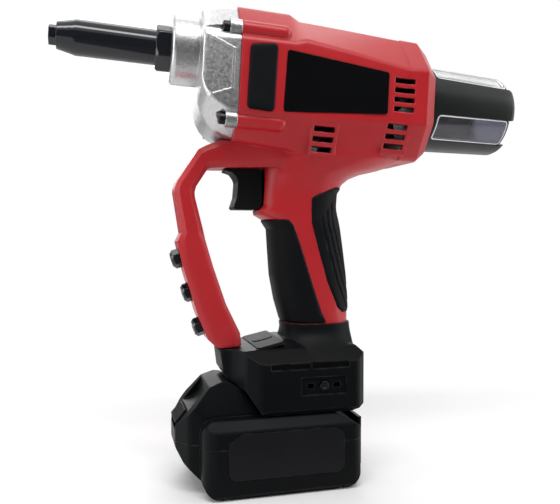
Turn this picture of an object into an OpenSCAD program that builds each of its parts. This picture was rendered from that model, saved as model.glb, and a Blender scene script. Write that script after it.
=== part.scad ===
// Battery rivet tool: a pistol body with a closed guard, a screw-driven pulling unit,
// a slide-on battery and a clear collector for the spent mandrels.
// The nose points to -X, the user's left side is -Y, and the battery rests on Z = 0.

/* [Body] */
// Upward lean of the nose against the base, in degrees
tilt = 3; // [0:0.5:5]
// Height of the barrel axis where the metal front meets the moulded body
axis_height = 270.7; // [266:0.1:276]
// Place of that joint plane, measured from the middle of the battery
seam_x = -27; // [-30:0.5:-24]
// Length of the moulded body behind the joint plane
body_length = 128; // [126:1:134]
// Width of the moulded body across its flat sides
body_width = 76; // [74:0.5:80]
// Height of the moulded body at its front
body_height = 82.5; // [80:0.5:86]
// Wall of the moulded halves
wall = 3; // [2.6:0.1:3.4]

/* [Grip and guard] */
// Height of the grip from the base to the body
grip_height = 109; // [106:0.5:112]
// Depth of the grip from front to back
grip_depth = 47; // [45:0.5:50]
// Width of the grip
grip_width = 39; // [37:0.5:42]
// Middle of the grip along the tool
grip_x = 24; // [22:0.5:26]
// How far the soft pads stand proud of the grip
pad_proud = 0.8; // [0.4:0.1:1.2]
// Depth of the pads' seats in the grip
pad_seat = 1.4; // [1:0.1:1.8]
// Forward reach of the guard ahead of the joint plane
guard_reach = 37; // [34:0.5:40]
// Width of the guard bar
guard_width = 23; // [20:0.5:26]

/* [Nose] */
// Outer diameter of the barrel
barrel_d = 21.4; // [20.4:0.1:22]
// Length of the barrel ahead of its lock nut
barrel_length = 57.6; // [55:0.1:62]
// Width across the flats of the lock nut
lock_nut_af = 25.2; // [24.8:0.1:28]
// Thickness of the lock nut
lock_nut_t = 9; // [8:0.5:12]
// Diameter of the collar on the metal front
collar_d = 42.6; // [40:0.1:45]
// Length of the collar from its face to the joint plane
collar_length = 38.4; // [36:0.1:40]
// Width across the flats of the nosepiece
nosepiece_af = 10.5; // [10:0.1:12]
// Bore of the fitted nosepiece
nosepiece_bore = 4.4; // [3:0.1:5]

/* [Pulling unit] */
// Outer diameter of the pulling screw
spindle_d = 14; // [13.6:0.1:14.2]
// Bore through the pulling screw
spindle_bore = 9.2; // [8.8:0.1:9.6]
// Tooth size of the final drive, as pitch diameter over tooth count
gear_module = 0.8; // [0.78:0.01:0.82]
// Teeth on the gear round the screw nut
nut_teeth = 50; // [50:1:50]
// Teeth on the driving pinion
pinion_teeth = 14; // [14:1:14]
// Diameter of the motor
motor_d = 36; // [34:0.5:36.4]
// Length of the motor
motor_length = 50; // [46:1:52]

/* [Collector] */
// Outer diameter of the collector at its front
collector_d = 57; // [55:0.5:59]
// Outer diameter of the collector at its back
collector_rear_d = 53; // [51:0.5:55]
// Length of the collector behind the body
collector_length = 64; // [60:1:72]
// Drop of the collector's axis below the barrel axis
collector_drop = 20; // [19:0.5:20.5]
// Number of clear windows round the collector
window_count = 4; // [4:1:4]

/* [Base and battery] */
// Length of the black base from the guard socket to its back
base_length = 90.5; // [90:0.5:94]
// Height of the black base up to the grip
base_height = 50; // [48:0.5:52]
// Width of the black base
base_width = 68; // [66:0.5:72]
// Length of the battery's main block
battery_length = 100; // [98:0.5:104]
// Width of the battery
battery_width = 76; // [74:0.5:80]
// Height of the battery's shoulder
battery_height = 46.7; // [46:0.1:48]
// Diameter of one cell
cell_d = 18; // [17.6:0.1:18.2]
// Length of one cell
cell_length = 65; // [63:0.5:66]
// Wall of the battery's cases
battery_wall = 2.6; // [2:0.1:3]

/* [Controls] */
// Travel of the trigger
trigger_travel = 6; // [4:0.5:7]
// Width of the trigger
trigger_width = 17; // [15:0.5:18]
// Travel of the button on the panel
button_travel = 0.8; // [0.5:0.1:1]
// Travel of the battery's release button
release_travel = 2.5; // [2:0.1:3]

/* [Hidden] */

$fn = 48;
// Steps in a rounded corner of an outline, and of a lofted section
arc_steps = 5;
loft_steps = 2;
// Overrun of every cut past the face that it opens
over = 1;
// Gap between pieces that move past each other, or drop into a seat
gap = 0.3;
// Radial gap of a running fit and of a hand fit
run_fit = 0.06;
seat_fit = 0.1;

// Colours of the finishes
red = "firebrick";
black = "#202022";
rubber = "#2b2b2d";
metal = "silver";
steel = "slategray";
dark_steel = "#2a2a2c";
clear = "lightblue";

// Joint plane and the levels that the body hangs from
base_bottom = battery_height + gap;
base_top = base_bottom + base_height;
base_front_share = 0.402;
base_front = -base_length * base_front_share;
half_body = body_width / 2;

// Moulded body: each row is [place along the body, half width, top, bottom, top of the flat side,
// bottom of the flat side, half width of the top flat, and of the bottom flat] as shares of its
// length, width and height
body_rows_shares = [
  [0, 0.5, 0.321, -0.68, 0.025, -0.49, 0.235, 0.28],
  [0.2565, 0.5, 0.318, -0.725, 0.03, -0.49, 0.235, 0.32],
  [0.309, 0.497, 0.275, -0.75, 0.062, -0.488, 0.225, 0.345],
  [0.544, 0.497, 0.262, -0.76, 0.015, -0.478, 0.225, 0.35],
  [0.841, 0.486, 0.243, -0.714, -0.052, -0.462, 0.22, 0.325],
  [0.853, 0.497, 0.248, -0.726, -0.048, -0.464, 0.222, 0.33],
  [0.945, 0.494, 0.243, -0.724, -0.044, -0.462, 0.22, 0.325],
  [1, 0.43, 0.17, -0.652, -0.08, -0.43, 0.2, 0.28]];
body_edge_r = 5;
// Back wall of the body, as a share of its length
back_wall_share = 0.93;
back_wall_u = body_length * back_wall_share;

// Metal front: [half width, top, bottom, top of the side, bottom of the side, half top flat, half
// bottom flat] at its face and at the joint plane, as shares of the body's section
dome_depth = 22;
dome_front_shares = [0.42, 0.255, -0.335, 0.06, -0.25, 0.15, 0.16];
dome_back_shares = [0.484, 0.309, -0.664, 0.025, -0.49, 0.23, 0.27];
dome_steps = 6;
skirt_length = 24;
collar_edge_r = 3;
// Raised ribs on its flanks, as [along, up] shares of the body's length and height
dome_rib_shares = [[-0.134, 0.006], [-0.032, -0.064], [-0.032, -0.345], [-0.135, -0.404]];
dome_rib_w = 1.6;
dome_rib_proud = 0.45;

// Rows of the grip from the base up: [height, front edge, rear edge, half width] as shares of
// the grip's height, depth and width
grip_rows_shares = [
  [0, -0.334, 0.566, 0.46], [0.06, -0.38, 0.564, 0.47], [0.165, -0.451, 0.56, 0.48],
  [0.312, -0.515, 0.532, 0.49], [0.486, -0.543, 0.479, 0.49], [0.587, -0.557, 0.443, 0.5],
  [0.642, -0.643, 0.419, 0.5], [0.67, -0.755, 0.404, 0.5], [0.697, -0.766, 0.391, 0.505],
  [0.725, -0.702, 0.383, 0.51], [0.798, -0.691, 0.394, 0.53], [0.853, -0.681, 0.479, 0.57],
  [0.89, -0.681, 0.585, 0.615], [0.917, -0.681, 0.745, 0.65], [0.945, -0.681, 1.02, 0.685],
  [1, -0.681, 1.42, 0.765], [1.11, -0.681, 1.43, 0.78]];
grip_round = 2.5;
grip_points = 24;
half_share = 0.5;
grip_bottom = base_top;
// Pads on the grip: outlines as shares of the grip's depth and height
front_pad_shares = [[-0.95, 0.64], [-0.372, 0.642], [-0.304, 0.609], [-0.206, 0.494], [-0.036, 0.261],
  [0.106, 0.085], [0.191, 0.034], [-0.95, 0.034]];
rear_pad_shares = [[0.766, 0.845], [0.3, 0.832], [-0.062, 0.772], [-0.053, 0.624], [0.047, 0.464],
  [0.177, 0.276], [0.334, 0.124], [0.42, 0.092], [0.766, 0.092]];
pad_corner_r = 3;
// First and last row of the grip that each pad spans
front_pad_rows = [0, 7];
rear_pad_rows = [1, 11];

// Guard bar from the body round to the base: each row is [outer x, outer z, inner x, inner z, width] as
// shares of its reach, of the height between the base and the barrel axis, and of its width
guard_rows_shares = [
  [1, 0.706, 1, 0.59, 2], [0.5, 0.703, 0.5, 0.59, 1.8], [-0.1, 0.697, -0.12, 0.589, 1.25],
  [-0.46, 0.667, -0.39, 0.587, 1.03], [-0.59, 0.652, -0.435, 0.583, 1], [-0.95, 0.536, -0.63, 0.52, 1],
  [-0.985, 0.515, -0.655, 0.5, 1], [-0.985, 0.498, -0.652, 0.483, 1], [-0.88, 0.353, -0.516, 0.365, 1],
  [-0.95, 0.322, -0.48, 0.33, 1], [-0.852, 0.233, -0.346, 0.232, 1], [-0.622, 0.067, -0.127, 0.095, 1],
  [-0.44, -0.031, 0.116, -0.012, 1], [-0.284, -0.0628, 0.135, -0.0581, 1]];
guard_edge_share = 0.24;
guard_height = axis_height - base_top;

// Spare nosepieces in the front of the guard, as shares of its height, and their size
spare_shares = [0.265, 0.142, 0.0155];
spare_af = 10.5;
spare_head = 6;
spare_shank_d = 7.6;
spare_shank = 9;

// Screw bosses between the two halves: on the body as [along, up] shares of its length and height,
// on the grip as shares of its depth and height
body_boss_shares = [[0.356, 0.19], [0.86, 0.13], [0.9, -0.66]];
grip_boss_shares = [[-0.45, 1], [0.2, 0.9], [-0.06, 0.45], [0.2, 0.13]];
boss_d = 8;
boss_seat = 9;
guard_boss_shares = [[-0.6, 0.575], [-0.6, 0.3]];
guard_boss_seat = 5;
screw_d = 3;
screw_head_d = 5.6;
screw_head_t = 2.4;
screw_grip = 7;

// Vents: each row is [along, up, count] as shares of the body's length and height
vent_rows_shares = [[0.819, -0.251, 4], [0.794, -0.562, 3], [0.422, -0.633, 3]];
vent_length = 13.6;
vent_slot = 3.4;
vent_pitch = 5.9;
// Louvre panels under the two lower groups: [along, top, bottom] as shares of the body's length and
// height, their length, and their lean against the side
louvre_rows_shares = [[0.797, -0.45, -0.69], [0.424, -0.515, -0.752]];
louvre_length = 17.5;
louvre_lean = 20;
vent_inner = 30;

// Side pads and the bare plate on the left flank, as shares of the body's length and height
bumper_shares = [[0.041, -0.02], [0.169, 0.008], [0.165, -0.481], [0.037, -0.473]];
bumper_proud = 1.8;
bumper_seat = 1.6;
plate_shares = [[0.217, -0.026], [0.73, -0.099], [0.731, -0.409], [0.21, -0.472]];
plate_t = 1.4;
plate_proud = 0.3;
plate_corner_r = 1.5;
bumper_corner_r = 2.5;

// Long screws that hold the metal front: [across, up] as shares of the body's width and height
front_screw_shares = [[0.428, 0.1], [0.41, -0.548]];
front_screw_d = 4;
front_screw_head_d = 7;
front_screw_head_t = 4;
front_screw_length = 26;
front_boss_d = 10;
front_boss_length = 26;
front_lug = 7;

// Drive along the barrel axis, as places behind the joint plane
gear_t = 8;
gear_u = 3;
backlash = 0.3;
pressure = 25;
addendum_share = 0.95;
dedendum_share = 1.25;
flank_steps = 4;
axis_gap = gear_module * (nut_teeth + pinion_teeth) / 2;
nut_d = 28;
nut_journal_d = 20;
bearing_od = 34;
bearing_t = 6;
front_bearing_u = -18;
nut_shoulder = 0.5;
cover_t = 7;
cover_u = skirt_length + seat_fit;
pinion_shaft_d = 6;
pinion_nose_d = 5;
pinion_nose_length = 7;
gearbox_u = cover_u + cover_t + seat_fit;
gearbox_length = 22;
motor_u = gearbox_u + gearbox_length + seat_fit;
motor_end_u = motor_u + motor_length;
motor_shaft_d = 5;
fan_d = 34;
fan_hub_d = 12;
fan_t = 8;
fan_blades = 9;
fan_blade_t = 1.4;
fan_clear = 2;
shaft_tail = 3;
rib_t = 3;

// Nose and jaws
flange_u = -collar_length;
lock_nut_u = flange_u - lock_nut_t;
barrel_front_u = lock_nut_u - barrel_length;
barrel_taper = 11;
barrel_tip_d = 16;
barrel_bore = 16;
barrel_thread_d = 22;
barrel_thread_length = 9;
nosepiece_thread_d = 9.6;
nosepiece_shank = 13;
nosepiece_head = 4.5;
jaw_case_d = barrel_bore - 2 * gap;
jaw_case_length = 39;
jaw_case_u = barrel_front_u + nosepiece_shank + 4 * gap;
jaw_mouth_d = 8.6;
jaw_chamber_d = 12.8;
jaw_cone_length = 14;
jaw_lip = 2;
jaw_bore = 3.2;
jaw_count = 3;
jaw_split = 0.8;
pusher_length = 6;
spring_d = 11.4;
spring_wire = 1.2;
spring_turns = 5;
screw_nose_d = jaw_chamber_d - 2 * seat_fit;
screw_nose_length = 6;
screw_front_u = jaw_case_u + jaw_case_length;
screw_rear_u = 70;
tube_d = spindle_bore - 2 * gap;
tube_bore = 7;
tube_front_u = 42;
tube_tail = 3;

// Collector
spigot_wall = 1.6;
spigot_length = 7;
spigot_d = collector_d - 3;
sleeve_wall = 2;
cup_wall = 1.8;
sleeve_gap = gap;
window_width = 18.4;
window_corner_r = 3;
pane_sink = 0.25;
window_turn = 10;
window_front = 4;
window_sill = 2;
sleeve_edge_r = 2.4;
seal_d = 2;

// Base: outline from the side as shares of its length and height, the plan as shares of its
// length and width, and the shoulder as shares of its width and height
base_side_shares = [[0, 0.77, 0.6], [0.022, 0.5, 0.6], [0.054, 0.406, 0.3], [0.15, 0.295, 0.3], [0.258, 0, 0],
  [0.89, 0, 0.6], [1, 0.075, 1], [1, 0.7, 2], [0.94, 0.81, 1], [0.5, 0.88, 1], [0.45, 0.8836, 0.5],
  [0.215, 0.79, 1]];
base_plan_shares = [[0, 0.19, 1], [0.083, 0.22, 2], [0.149, 0.41, 2.5], [0.248, 0.5, 4], [0.93, 0.5, 2],
  [1, 0.41, 2]];
base_shoulder_shares = [[0.47, 0, 0], [0.5, 0.06, 0], [0.5, 0.63, 1], [0.37, 0.79, 2], [0.27, 0.86, 1],
  [0.2, 0.9, 0]];
// Flare of the base round the foot of the grip: each row is [height over the foot, growth at the
// front, at the back and at the sides] as shares of the base's height
base_flare_shares = [[-0.36, 0.2, 0.068, 0.34], [-0.29, 0.15, 0.066, 0.27], [-0.22, 0.11, 0.06, 0.195],
  [-0.15, 0.075, 0.052, 0.125], [-0.08, 0.05, 0.042, 0.07], [-0.01, 0.04, 0.034, 0.04],
  [0.064, 0.05, 0.028, 0.032]];
base_corner_r = 3;
// Side slots, hook seat and hook screw on the base, as shares of its length and height
base_slot_shares = [[0.442, 0.592], [0.728, 0.596]];
base_slot_length = 24.4;
base_slot_h = 3.6;
base_slot_depth = 1.6;
hook_shares = [0.68, 0.345];
hook_seat_length = 29;
hook_seat_h = 11;
hook_seat_depth = 1.2;
hook_pin_pitch = 17;
hook_pin_l = 4;
hook_pin_h = 3;
hook_pin_depth = 5;
hook_thread_d = 4;
hook_thread_depth = 8;
hook_head_d = 5.6;
hook_head_t = 1.8;
base_screw_shares = [[0.93, 0.5], [0.3, 0.46], [0.68, 0.78]];
// Guard socket in the base
tongue_depth = 7;
tongue_length = 9;
tongue_width = 12;
// Control panel on the sloping top of the base, along the slope and across
panel_length = 17.5;
panel_width = 48;
panel_t = 1.8;
panel_proud = 0.5;
panel_corner_r = 2.5;
button_length = 13;
button_width = 8;
button_proud = 0.9;
button_flange = 1.6;
board_length = 26;
board_width = 22;
board_t = 1.6;
board_drop = 7;

// Rails between the base and the battery
deck_neck_share = 0.263;
deck_lip_share = 0.316;
deck_height = 11;
deck_lip_h = 5.6;
deck_front_share = -0.08;
deck_rear_share = 0.38;
blade_pitch = 9;
blade_t = 1;
blade_h = 5;
blade_length = 16;
blade_count = 3;
terminal_width = 30;
terminal_length = 9;
terminal_sink = 4;

// Battery: a block and a chin ahead of it, each as an outline from the side, a plan and a front view,
// in shares of the battery's length, width and height
block_side_shares = [[-0.505, 1, 3], [0.34, 1, 2], [0.5, 0.8, 2], [0.5, 0.16, 1.3], [0.41, 0, 1.3],
  [-0.505, 0, 4]];
block_plan_shares = [[-0.505, 0.5, 3.3], [0.5, 0.5, 2.4]];
block_front_shares = [[0.47, 0, 0], [0.5, 0.06, 0], [0.5, 0.86, 2], [0.42, 1, 1]];
chin_side_shares = [[-0.645, 0.58, 2], [-0.645, 0.86, 2], [-0.44, 1.37, 1], [-0.36, 1.43, 1],
  [-0.318, 1.42, 0.5], [-0.232, 1.305, 0.5], [-0.138, 1, 0], [0, 1, 0], [0, 0.3, 0], [-0.46, 0.1, 1],
  [-0.6, 0.4, 2]];
chin_plan_shares = [[-0.645, 0.16, 1.5], [-0.57, 0.3, 2], [-0.45, 0.34, 1], [0, 0.34, 0]];
chin_front_shares = [[0.34, 0, 0], [0.34, 1.02, 1.5], [0.2, 1.6, 0]];
// Plate at the back of the block: half width, foot and head as shares, and how far it stands out
rear_plate_shares = [0.39, 0.26, 0.9];
rear_plate_t = 1.2;
battery_corner_r = 3;
battery_seam_share = 0.65;
battery_plate_shares = [[-0.281, 0.84, 0.4], [0.314, 0.84, 0.4], [0.368, 0.75, 0.4], [0.368, 0.316, 0.4],
  [0.329, 0.244, 0.4], [-0.322, 0.25, 0.4], [-0.356, 0.33, 0.4], [-0.356, 0.72, 0.4]];
battery_plate_t = 1.2;
cell_columns = 5;
cell_rows = 2;
cell_web = 0.8;
cell_pitch = cell_d + cell_web;
holder_t = 5;
holder_inset = 4;
battery_screw_shares = [-0.36, 0.36];
battery_screw_d = 2.2;
battery_screw_head_d = 3.4;
battery_screw_head_t = 2;
battery_screw_sink = 2;
release_length = 10;
release_width = 24;
release_t = 8;
release_shift = -9.5;
release_slot = 3;
// Thumb scoop above the button
scoop_shift = 5.8;
scoop_r = 13;
scoop_depth = 4;
scoop_width = 30;
release_sink = 1.2;

// Trigger: outline as shares of its length and height, its seat and its stem
trigger_shares = [[0, 1, 0.2], [0, 0.95, 0.2], [0.2, 0.9, 2], [0.34, 0.72, 3], [0.3, 0.3, 3], [0.2, 0.04, 0.5],
  [0.26, 0, 0.3],
  [0.9, 0, 1], [1, 0.1, 1], [1, 1, 0]];
trigger_length = 23;
trigger_height = 25.6;
trigger_corner_r = 2;
trigger_back_share = -0.69;
trigger_level_share = 0.7;
stem_d = 6;
switch_length = 26;
switch_height = 24;
switch_width = 19;
switch_front_gap = 2;
stem_sink = 3;
trigger_back = grip_x + trigger_back_share * grip_depth;
trigger_x = trigger_back - trigger_length;
switch_x = trigger_back + trigger_travel + switch_front_gap;
switch_z = grip_bottom + trigger_level_share * grip_height;
stem_z = switch_z + switch_height / 2;

// Signed smaller angle from a to b
function turn_to(a, b) = ((b - a + 540) % 360) - 180;
function unit(v) = v / norm(v);
function blend(a, b, s) = a + (b - a) * s;
// Points of the arc that rounds corner p between its neighbours a and b
function corner(a, p, b, r, n) =
  let (u = unit(a - p),
    v = unit(b - p),
    half = acos(u * v) / 2,
    c = p + unit(u + v) * r / sin(half),
    s = p + u * r / tan(half),
    e = p + v * r / tan(half),
    a0 = atan2(s.y - c.y, s.x - c.x),
    d = turn_to(a0, atan2(e.y - c.y, e.x - c.x)))
  [for (i = [0:n]) c + r * [cos(a0 + d * i / n), sin(a0 + d * i / n)]];
// Outline through points [x, y, corner radius]
function rounded(pts, n) =
  let (m = len(pts), q = [for (p = pts) [p.x, p.y]])
  [for (i = [0:m - 1]) each
    pts[i].z > 0 ? corner(q[(i + m - 1) % m], q[i], q[(i + 1) % m], pts[i].z, n) : [q[i]]];
// Points written as shares, set on a corner and a size, with radii as shares of r
function placed(shares, lo, size, r) =
  [for (s = shares) [lo.x + s.x * size.x, lo.y + s.y * size.y, (len(s) > 2 ? s.z : 1) * r]];
function mirrored(pts) = concat(pts, [for (i = [len(pts) - 1:-1:0]) [pts[i].x, -pts[i].y, pts[i].z]]);

// Frames: the barrel axis from the joint plane backwards, and the drive axis below it
function barrel_place(u, w) =
  [seam_x + u * cos(tilt) + w * sin(tilt), axis_height - u * sin(tilt) + w * cos(tilt)];
module on_barrel() {
  translate([seam_x, 0, axis_height]) rotate([0, tilt, 0]) children();
}
module on_drive() {
  on_barrel() translate([0, 0, -axis_gap]) children();
}
module on_collector() {
  on_barrel() translate([body_length, 0, -collector_drop]) children();
}
// Round bar, ring and turned profile along the current X axis
module bar(u, length, d) {
  translate([u, 0, 0]) rotate([0, 90, 0]) cylinder(h = length, d = d);
}
module turned(pts) {
  rotate([0, 90, 0]) rotate_extrude() polygon(pts);
}
module plate_xz(pts, y0, y1) {
  translate([0, y1, 0]) rotate([90, 0, 0]) linear_extrude(height = y1 - y0) polygon(pts);
}
module loft(rings) {
  n = len(rings[0]);
  m = len(rings);
  polyhedron(
    points = [for (r = rings) each r],
    faces = concat(
      [[for (j = [0:n - 1]) j]],
      [for (i = [0:m - 2]) for (j = [0:n - 1]) each
        let (a = i * n + j, b = i * n + (j + 1) % n) [[a, a + n, b], [b, a + n, b + n]]],
      [[for (j = [n - 1:-1:0]) (m - 1) * n + j]]));
}
// One half of space on the left (-1) or right (1) of the split
module half_space(side) {
  reach = 2 * (axis_height + body_length);
  translate([-reach / 2, side > 0 ? 0 : -reach, -reach / 4]) cube(reach);
}

// Rounded octagon of a body section, counted anticlockwise seen from the back
function octagon(w, top, bottom, side_top, side_bottom, flat, floor, r) =
  rounded([[w, side_bottom, r], [w, side_top, r], [flat, top, r], [-flat, top, r],
    [-w, side_top, r], [-w, side_bottom, r], [-floor, bottom, r], [floor, bottom, r]], loft_steps);
function section(s, inset, r) =
  octagon(s[0] * body_width - inset, s[1] * body_height - inset, s[2] * body_height + inset,
    s[3] * body_height - inset / 2, s[4] * body_height + inset / 2, s[5] * body_width - inset / 2,
    s[6] * body_width - inset / 2, r);
function tail(row) = [for (i = [1:len(row) - 1]) row[i]];
function body_ring(row, inset) =
  [for (p = section(tail(row), inset, body_edge_r)) [row[0] * body_length, p.x, p.y]];
module body_form(inset) {
  loft([for (row = body_rows_shares) body_ring(row, inset)]);
}
// Straight prism of the body's front section between two places along the axis
module front_prism(u0, u1, inset) {
  ring = section(tail(body_rows_shares[0]), inset, body_edge_r);
  loft([for (u = [u0, u1]) [for (p = ring) [u, p.x, p.y]]]);
}

// Grip section: a rounded oblong at one level
function power(v, n) = sign(v) * pow(abs(v), 2 / n);
function grip_ring(row, inset) =
  let (front = grip_x + row[1] * grip_depth + inset,
    rear = grip_x + row[2] * grip_depth - inset,
    half = row[3] * grip_width - inset)
  [for (i = [0:grip_points - 1])
    let (a = 360 * (i + half_share) / grip_points)
    [(front + rear) / 2 + (rear - front) / 2 * power(cos(a), grip_round),
      half * power(sin(a), grip_round), grip_bottom + row[0] * grip_height]];
module grip_form(inset, rows = grip_rows_shares) {
  loft([for (row = rows) grip_ring(row, inset)]);
}
function grip_place(s) = [grip_x + s.x * grip_depth, grip_bottom + s.y * grip_height];
module pad_mask(shares) {
  half = grip_width / 2 + grip_depth;
  pts = [for (s = shares) [each grip_place(s), pad_corner_r]];
  plate_xz(rounded(pts, arc_steps), -half, half);
}

// Guard bar: eight-sided sections between its outer and inner edge
function guard_place(x, z) = [seam_x + x * guard_reach, base_top + z * guard_height];
function guard_ring(row) =
  let (o = guard_place(row[0], row[1]),
    i = guard_place(row[2], row[3]),
    half = row[4] * guard_width / 2,
    e = guard_edge_share,
    c = guard_edge_share * guard_width / 2)
  [for (p = [[0, half - c], [e, half], [1 - e, half], [1, half - c],
      [1, c - half], [1 - e, -half], [e, -half], [0, c - half]])
    [blend(o.x, i.x, p.x), p.y, blend(o.y, i.y, p.x)]];
module guard_form() {
  loft([for (row = guard_rows_shares) guard_ring(row)]);
}
// Place and direction of a spare nosepiece: out of the guard's front face
module on_spare(s) {
  a = guard_rows_shares[len(guard_rows_shares) - 5];
  b = guard_rows_shares[len(guard_rows_shares) - 2];
  top = guard_place(a[0], a[1]);
  foot = guard_place(b[0], b[1]);
  spot = blend(top, foot, (a[1] - s) / (a[1] - b[1]));
  translate([spot.x, 0, spot.y]) rotate([0, -atan2(foot.x - top.x, top.y - foot.y), 0]) children();
}

// Capsule bosses on the body for the long front screws
module front_screw_places() {
  for (s = front_screw_shares, side = [-1, 1])
    translate([0, side * s.x * body_width, s.y * body_height]) children();
}
module front_bosses() {
  front_screw_places() {
    bar(0, front_boss_length, front_boss_d);
    translate([front_boss_length, 0, 0]) sphere(d = front_boss_d);
  }
}

// Screws between the halves
function boss_spots() = concat(
  [for (s = body_boss_shares) barrel_place(s.x * body_length, s.y * body_height)],
  [for (s = grip_boss_shares) grip_place(s)]);
function guard_boss_spots() = [for (s = guard_boss_shares) guard_place(s.x, s.y)];
module across(p, y0, y1, d) {
  translate([p.x, y1, p.y]) rotate([90, 0, 0]) cylinder(h = y1 - y0, d = d);
}
module boss_cuts(spots, seat) {
  for (p = spots) {
    across(p, -screw_grip, seat + over, screw_d + 2 * run_fit);
    across(p, seat, body_width, screw_head_d + 2 * gap);
  }
}
module half_screws(spots, seat) {
  for (p = spots) {
    across(p, gap - screw_grip, seat, screw_d);
    across(p, seat, seat + screw_head_t, screw_head_d);
  }
}

// Seats inside the halves for the motor, the gearbox, the switch and the screw bosses
module inner_ribs() {
  intersection() {
    union() {
      on_barrel() for (u = [motor_u + rib_t, motor_end_u - 2 * rib_t])
        translate([u, -half_body, -body_height]) cube([rib_t, body_width, 2 * body_height]);
      for (p = boss_spots()) across(p, -half_body, half_body, boss_d);
      translate([switch_x + rib_t, -half_body, switch_z + rib_t])
        cube([switch_length - 2 * rib_t, body_width, rib_t]);
    }
    union() {
      on_barrel() body_form(wall / 2);
      grip_form(wall / 2);
    }
  }
}

// Vents as groups of rounded slots
module vent_slots() {
  for (row = vent_rows_shares, i = [0:row[2] - 1])
    translate([row[0] * body_length, 0, row[1] * body_height + (i - (row[2] - 1) / 2) * vent_pitch])
      rotate([90, 0, 0])
        linear_extrude(height = body_width + over, center = true)
          polygon(rounded(placed([[0, 0], [1, 0], [1, 1], [0, 1]], [-vent_length / 2, -vent_slot / 2],
            [vent_length, vent_slot], vent_slot / 6), loft_steps));
}
module vents() {
  difference() {
    vent_slots();
    translate([0, -vent_inner / 2, -2 * body_height]) cube([2 * body_length, vent_inner, 4 * body_height]);
  }
}
module louvre_panels() {
  for (row = louvre_rows_shares, side = [0, 1]) mirror([0, side, 0]) {
    top = row[1] * body_height;
    foot = row[2] * body_height;
    y = half_body - wall / 2;
    low = y - (top - foot) * tan(louvre_lean);
    translate([row[0] * body_length - louvre_length / 2, 0, 0])
      plate_yz([[low - 2 * wall, foot], [low, foot], [y, top], [y - 2 * wall, top]], 0, louvre_length);
  }
}
module bumper_form(side) {
  y = side * half_body;
  pts = placed(bumper_shares, [0, 0], [body_length, body_height], bumper_corner_r);
  y0 = side > 0 ? y - bumper_seat : y - bumper_proud;
  y1 = side > 0 ? y + bumper_proud : y + bumper_seat;
  plate_xz(rounded(pts, arc_steps), y0, y1);
}
module name_plate_form(extra) {
  pts = placed(plate_shares, [0, 0], [body_length, body_height], plate_corner_r);
  plate_xz(rounded(pts, arc_steps), -half_body - plate_proud, plate_t - plate_proud - half_body + extra);
}

module housing_half(side) {
  difference() {
    intersection() {
      union() {
        difference() {
          union() {
            on_barrel() body_form(0);
            on_barrel() front_bosses();
            on_barrel() louvre_panels();
            grip_form(0);
            guard_form();
            tongue_form(0);
          }
          intersection() {
            on_barrel() body_form(wall);
            on_barrel() translate([-over, -half_body, -body_height])
              cube([back_wall_u + over, body_width, 2 * body_height]);
          }
          grip_form(wall);
        }
        inner_ribs();
      }
      half_space(side);
    }
    on_barrel() front_prism(-over, skirt_length + cover_t + gap, wall);
    on_barrel() dome_form(-gap);
    on_barrel() front_screw_places() bar(-over, front_boss_length, front_screw_d + 2 * run_fit);
    on_drive() bar(motor_u - gap, motor_length + 2 * gap, motor_d + 2 * seat_fit);
    on_barrel() bar(skirt_length, back_wall_u - skirt_length, spindle_d + 4 * gap);
    on_barrel() bar(back_wall_u - over, body_length, tube_d + 2 * seat_fit);
    on_collector() bar(-spigot_length - gap, body_length, spigot_d + 2 * gap);
    on_barrel() vents();
    on_barrel() bumper_form(side);
    if (side < 0) on_barrel() name_plate_form(seat_fit);
    pad_cuts();
    trigger_opening();
    switch_pocket();
    boss_cuts(boss_spots(), boss_seat);
    boss_cuts(guard_boss_spots(), guard_boss_seat);
    for (s = spare_shares) on_spare(s) {
      bar(-over, spare_shank + over + gap, spare_shank_d + 2 * seat_fit);
      bar(-spare_head, spare_head, spare_af / cos(30) + 2 * gap);
    }
  }
}
module pad_cuts() {
  difference() {
    union() {
      pad_mask(front_pad_shares);
      pad_mask(rear_pad_shares);
    }
    grip_form(pad_seat);
  }
}
module trigger_opening() {
  translate([trigger_x, -trigger_width / 2 - gap, switch_z - gap])
    cube([switch_x - trigger_x, trigger_width + 2 * gap, trigger_height + 2 * gap]);
}
module switch_pocket() {
  translate([switch_x - gap, -switch_width / 2 - seat_fit, switch_z - gap])
    cube([switch_length + 2 * gap, switch_width + 2 * seat_fit, switch_height + 2 * gap]);
}
module housing_left() { color(red) housing_half(-1); }
module housing_right() { color(red) housing_half(1); }
module housing_screws() {
  color(steel) {
    half_screws(boss_spots(), boss_seat);
    half_screws(guard_boss_spots(), guard_boss_seat);
  }
}

// Metal front: a dome behind the collar, with a skirt that the moulded halves clamp
function dome_ring(a, inset) =
  let (s = [for (i = [0:len(dome_front_shares) - 1]) blend(dome_front_shares[i], dome_back_shares[i], sin(a))])
  [for (p = section(s, inset, body_edge_r)) [-dome_depth * cos(a), p.x, p.y]];
module dome_form(inset) {
  loft([for (i = [0:dome_steps]) dome_ring(90 * i / dome_steps, inset)]);
}
nut_gear_od = gear_module * (nut_teeth + 2);
pinion_od = gear_module * (pinion_teeth + 2);
module collar_form() {
  turned(concat([[0, -collar_length]],
    [for (i = [0:arc_steps]) let (a = 90 * i / arc_steps)
      [collar_d / 2 - collar_edge_r * (1 - sin(a)), collar_edge_r * (1 - cos(a)) - collar_length]],
    [[collar_d / 2, -dome_depth / 2], [0, -dome_depth / 2]]));
}
module dome_ribs() {
  pts = [for (s = dome_rib_shares) [s.x * body_length, s.y * body_height]];
  intersection() {
    dome_form(-dome_rib_proud);
    for (i = [1:len(pts) - 1]) {
      d = unit(pts[i] - pts[i - 1]) * dome_rib_w / 2;
      n = [-d.y, d.x];
      plate_xz([pts[i - 1] - d + n, pts[i] + d + n, pts[i] + d - n, pts[i - 1] - d - n],
        -body_width, body_width);
    }
  }
}
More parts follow.
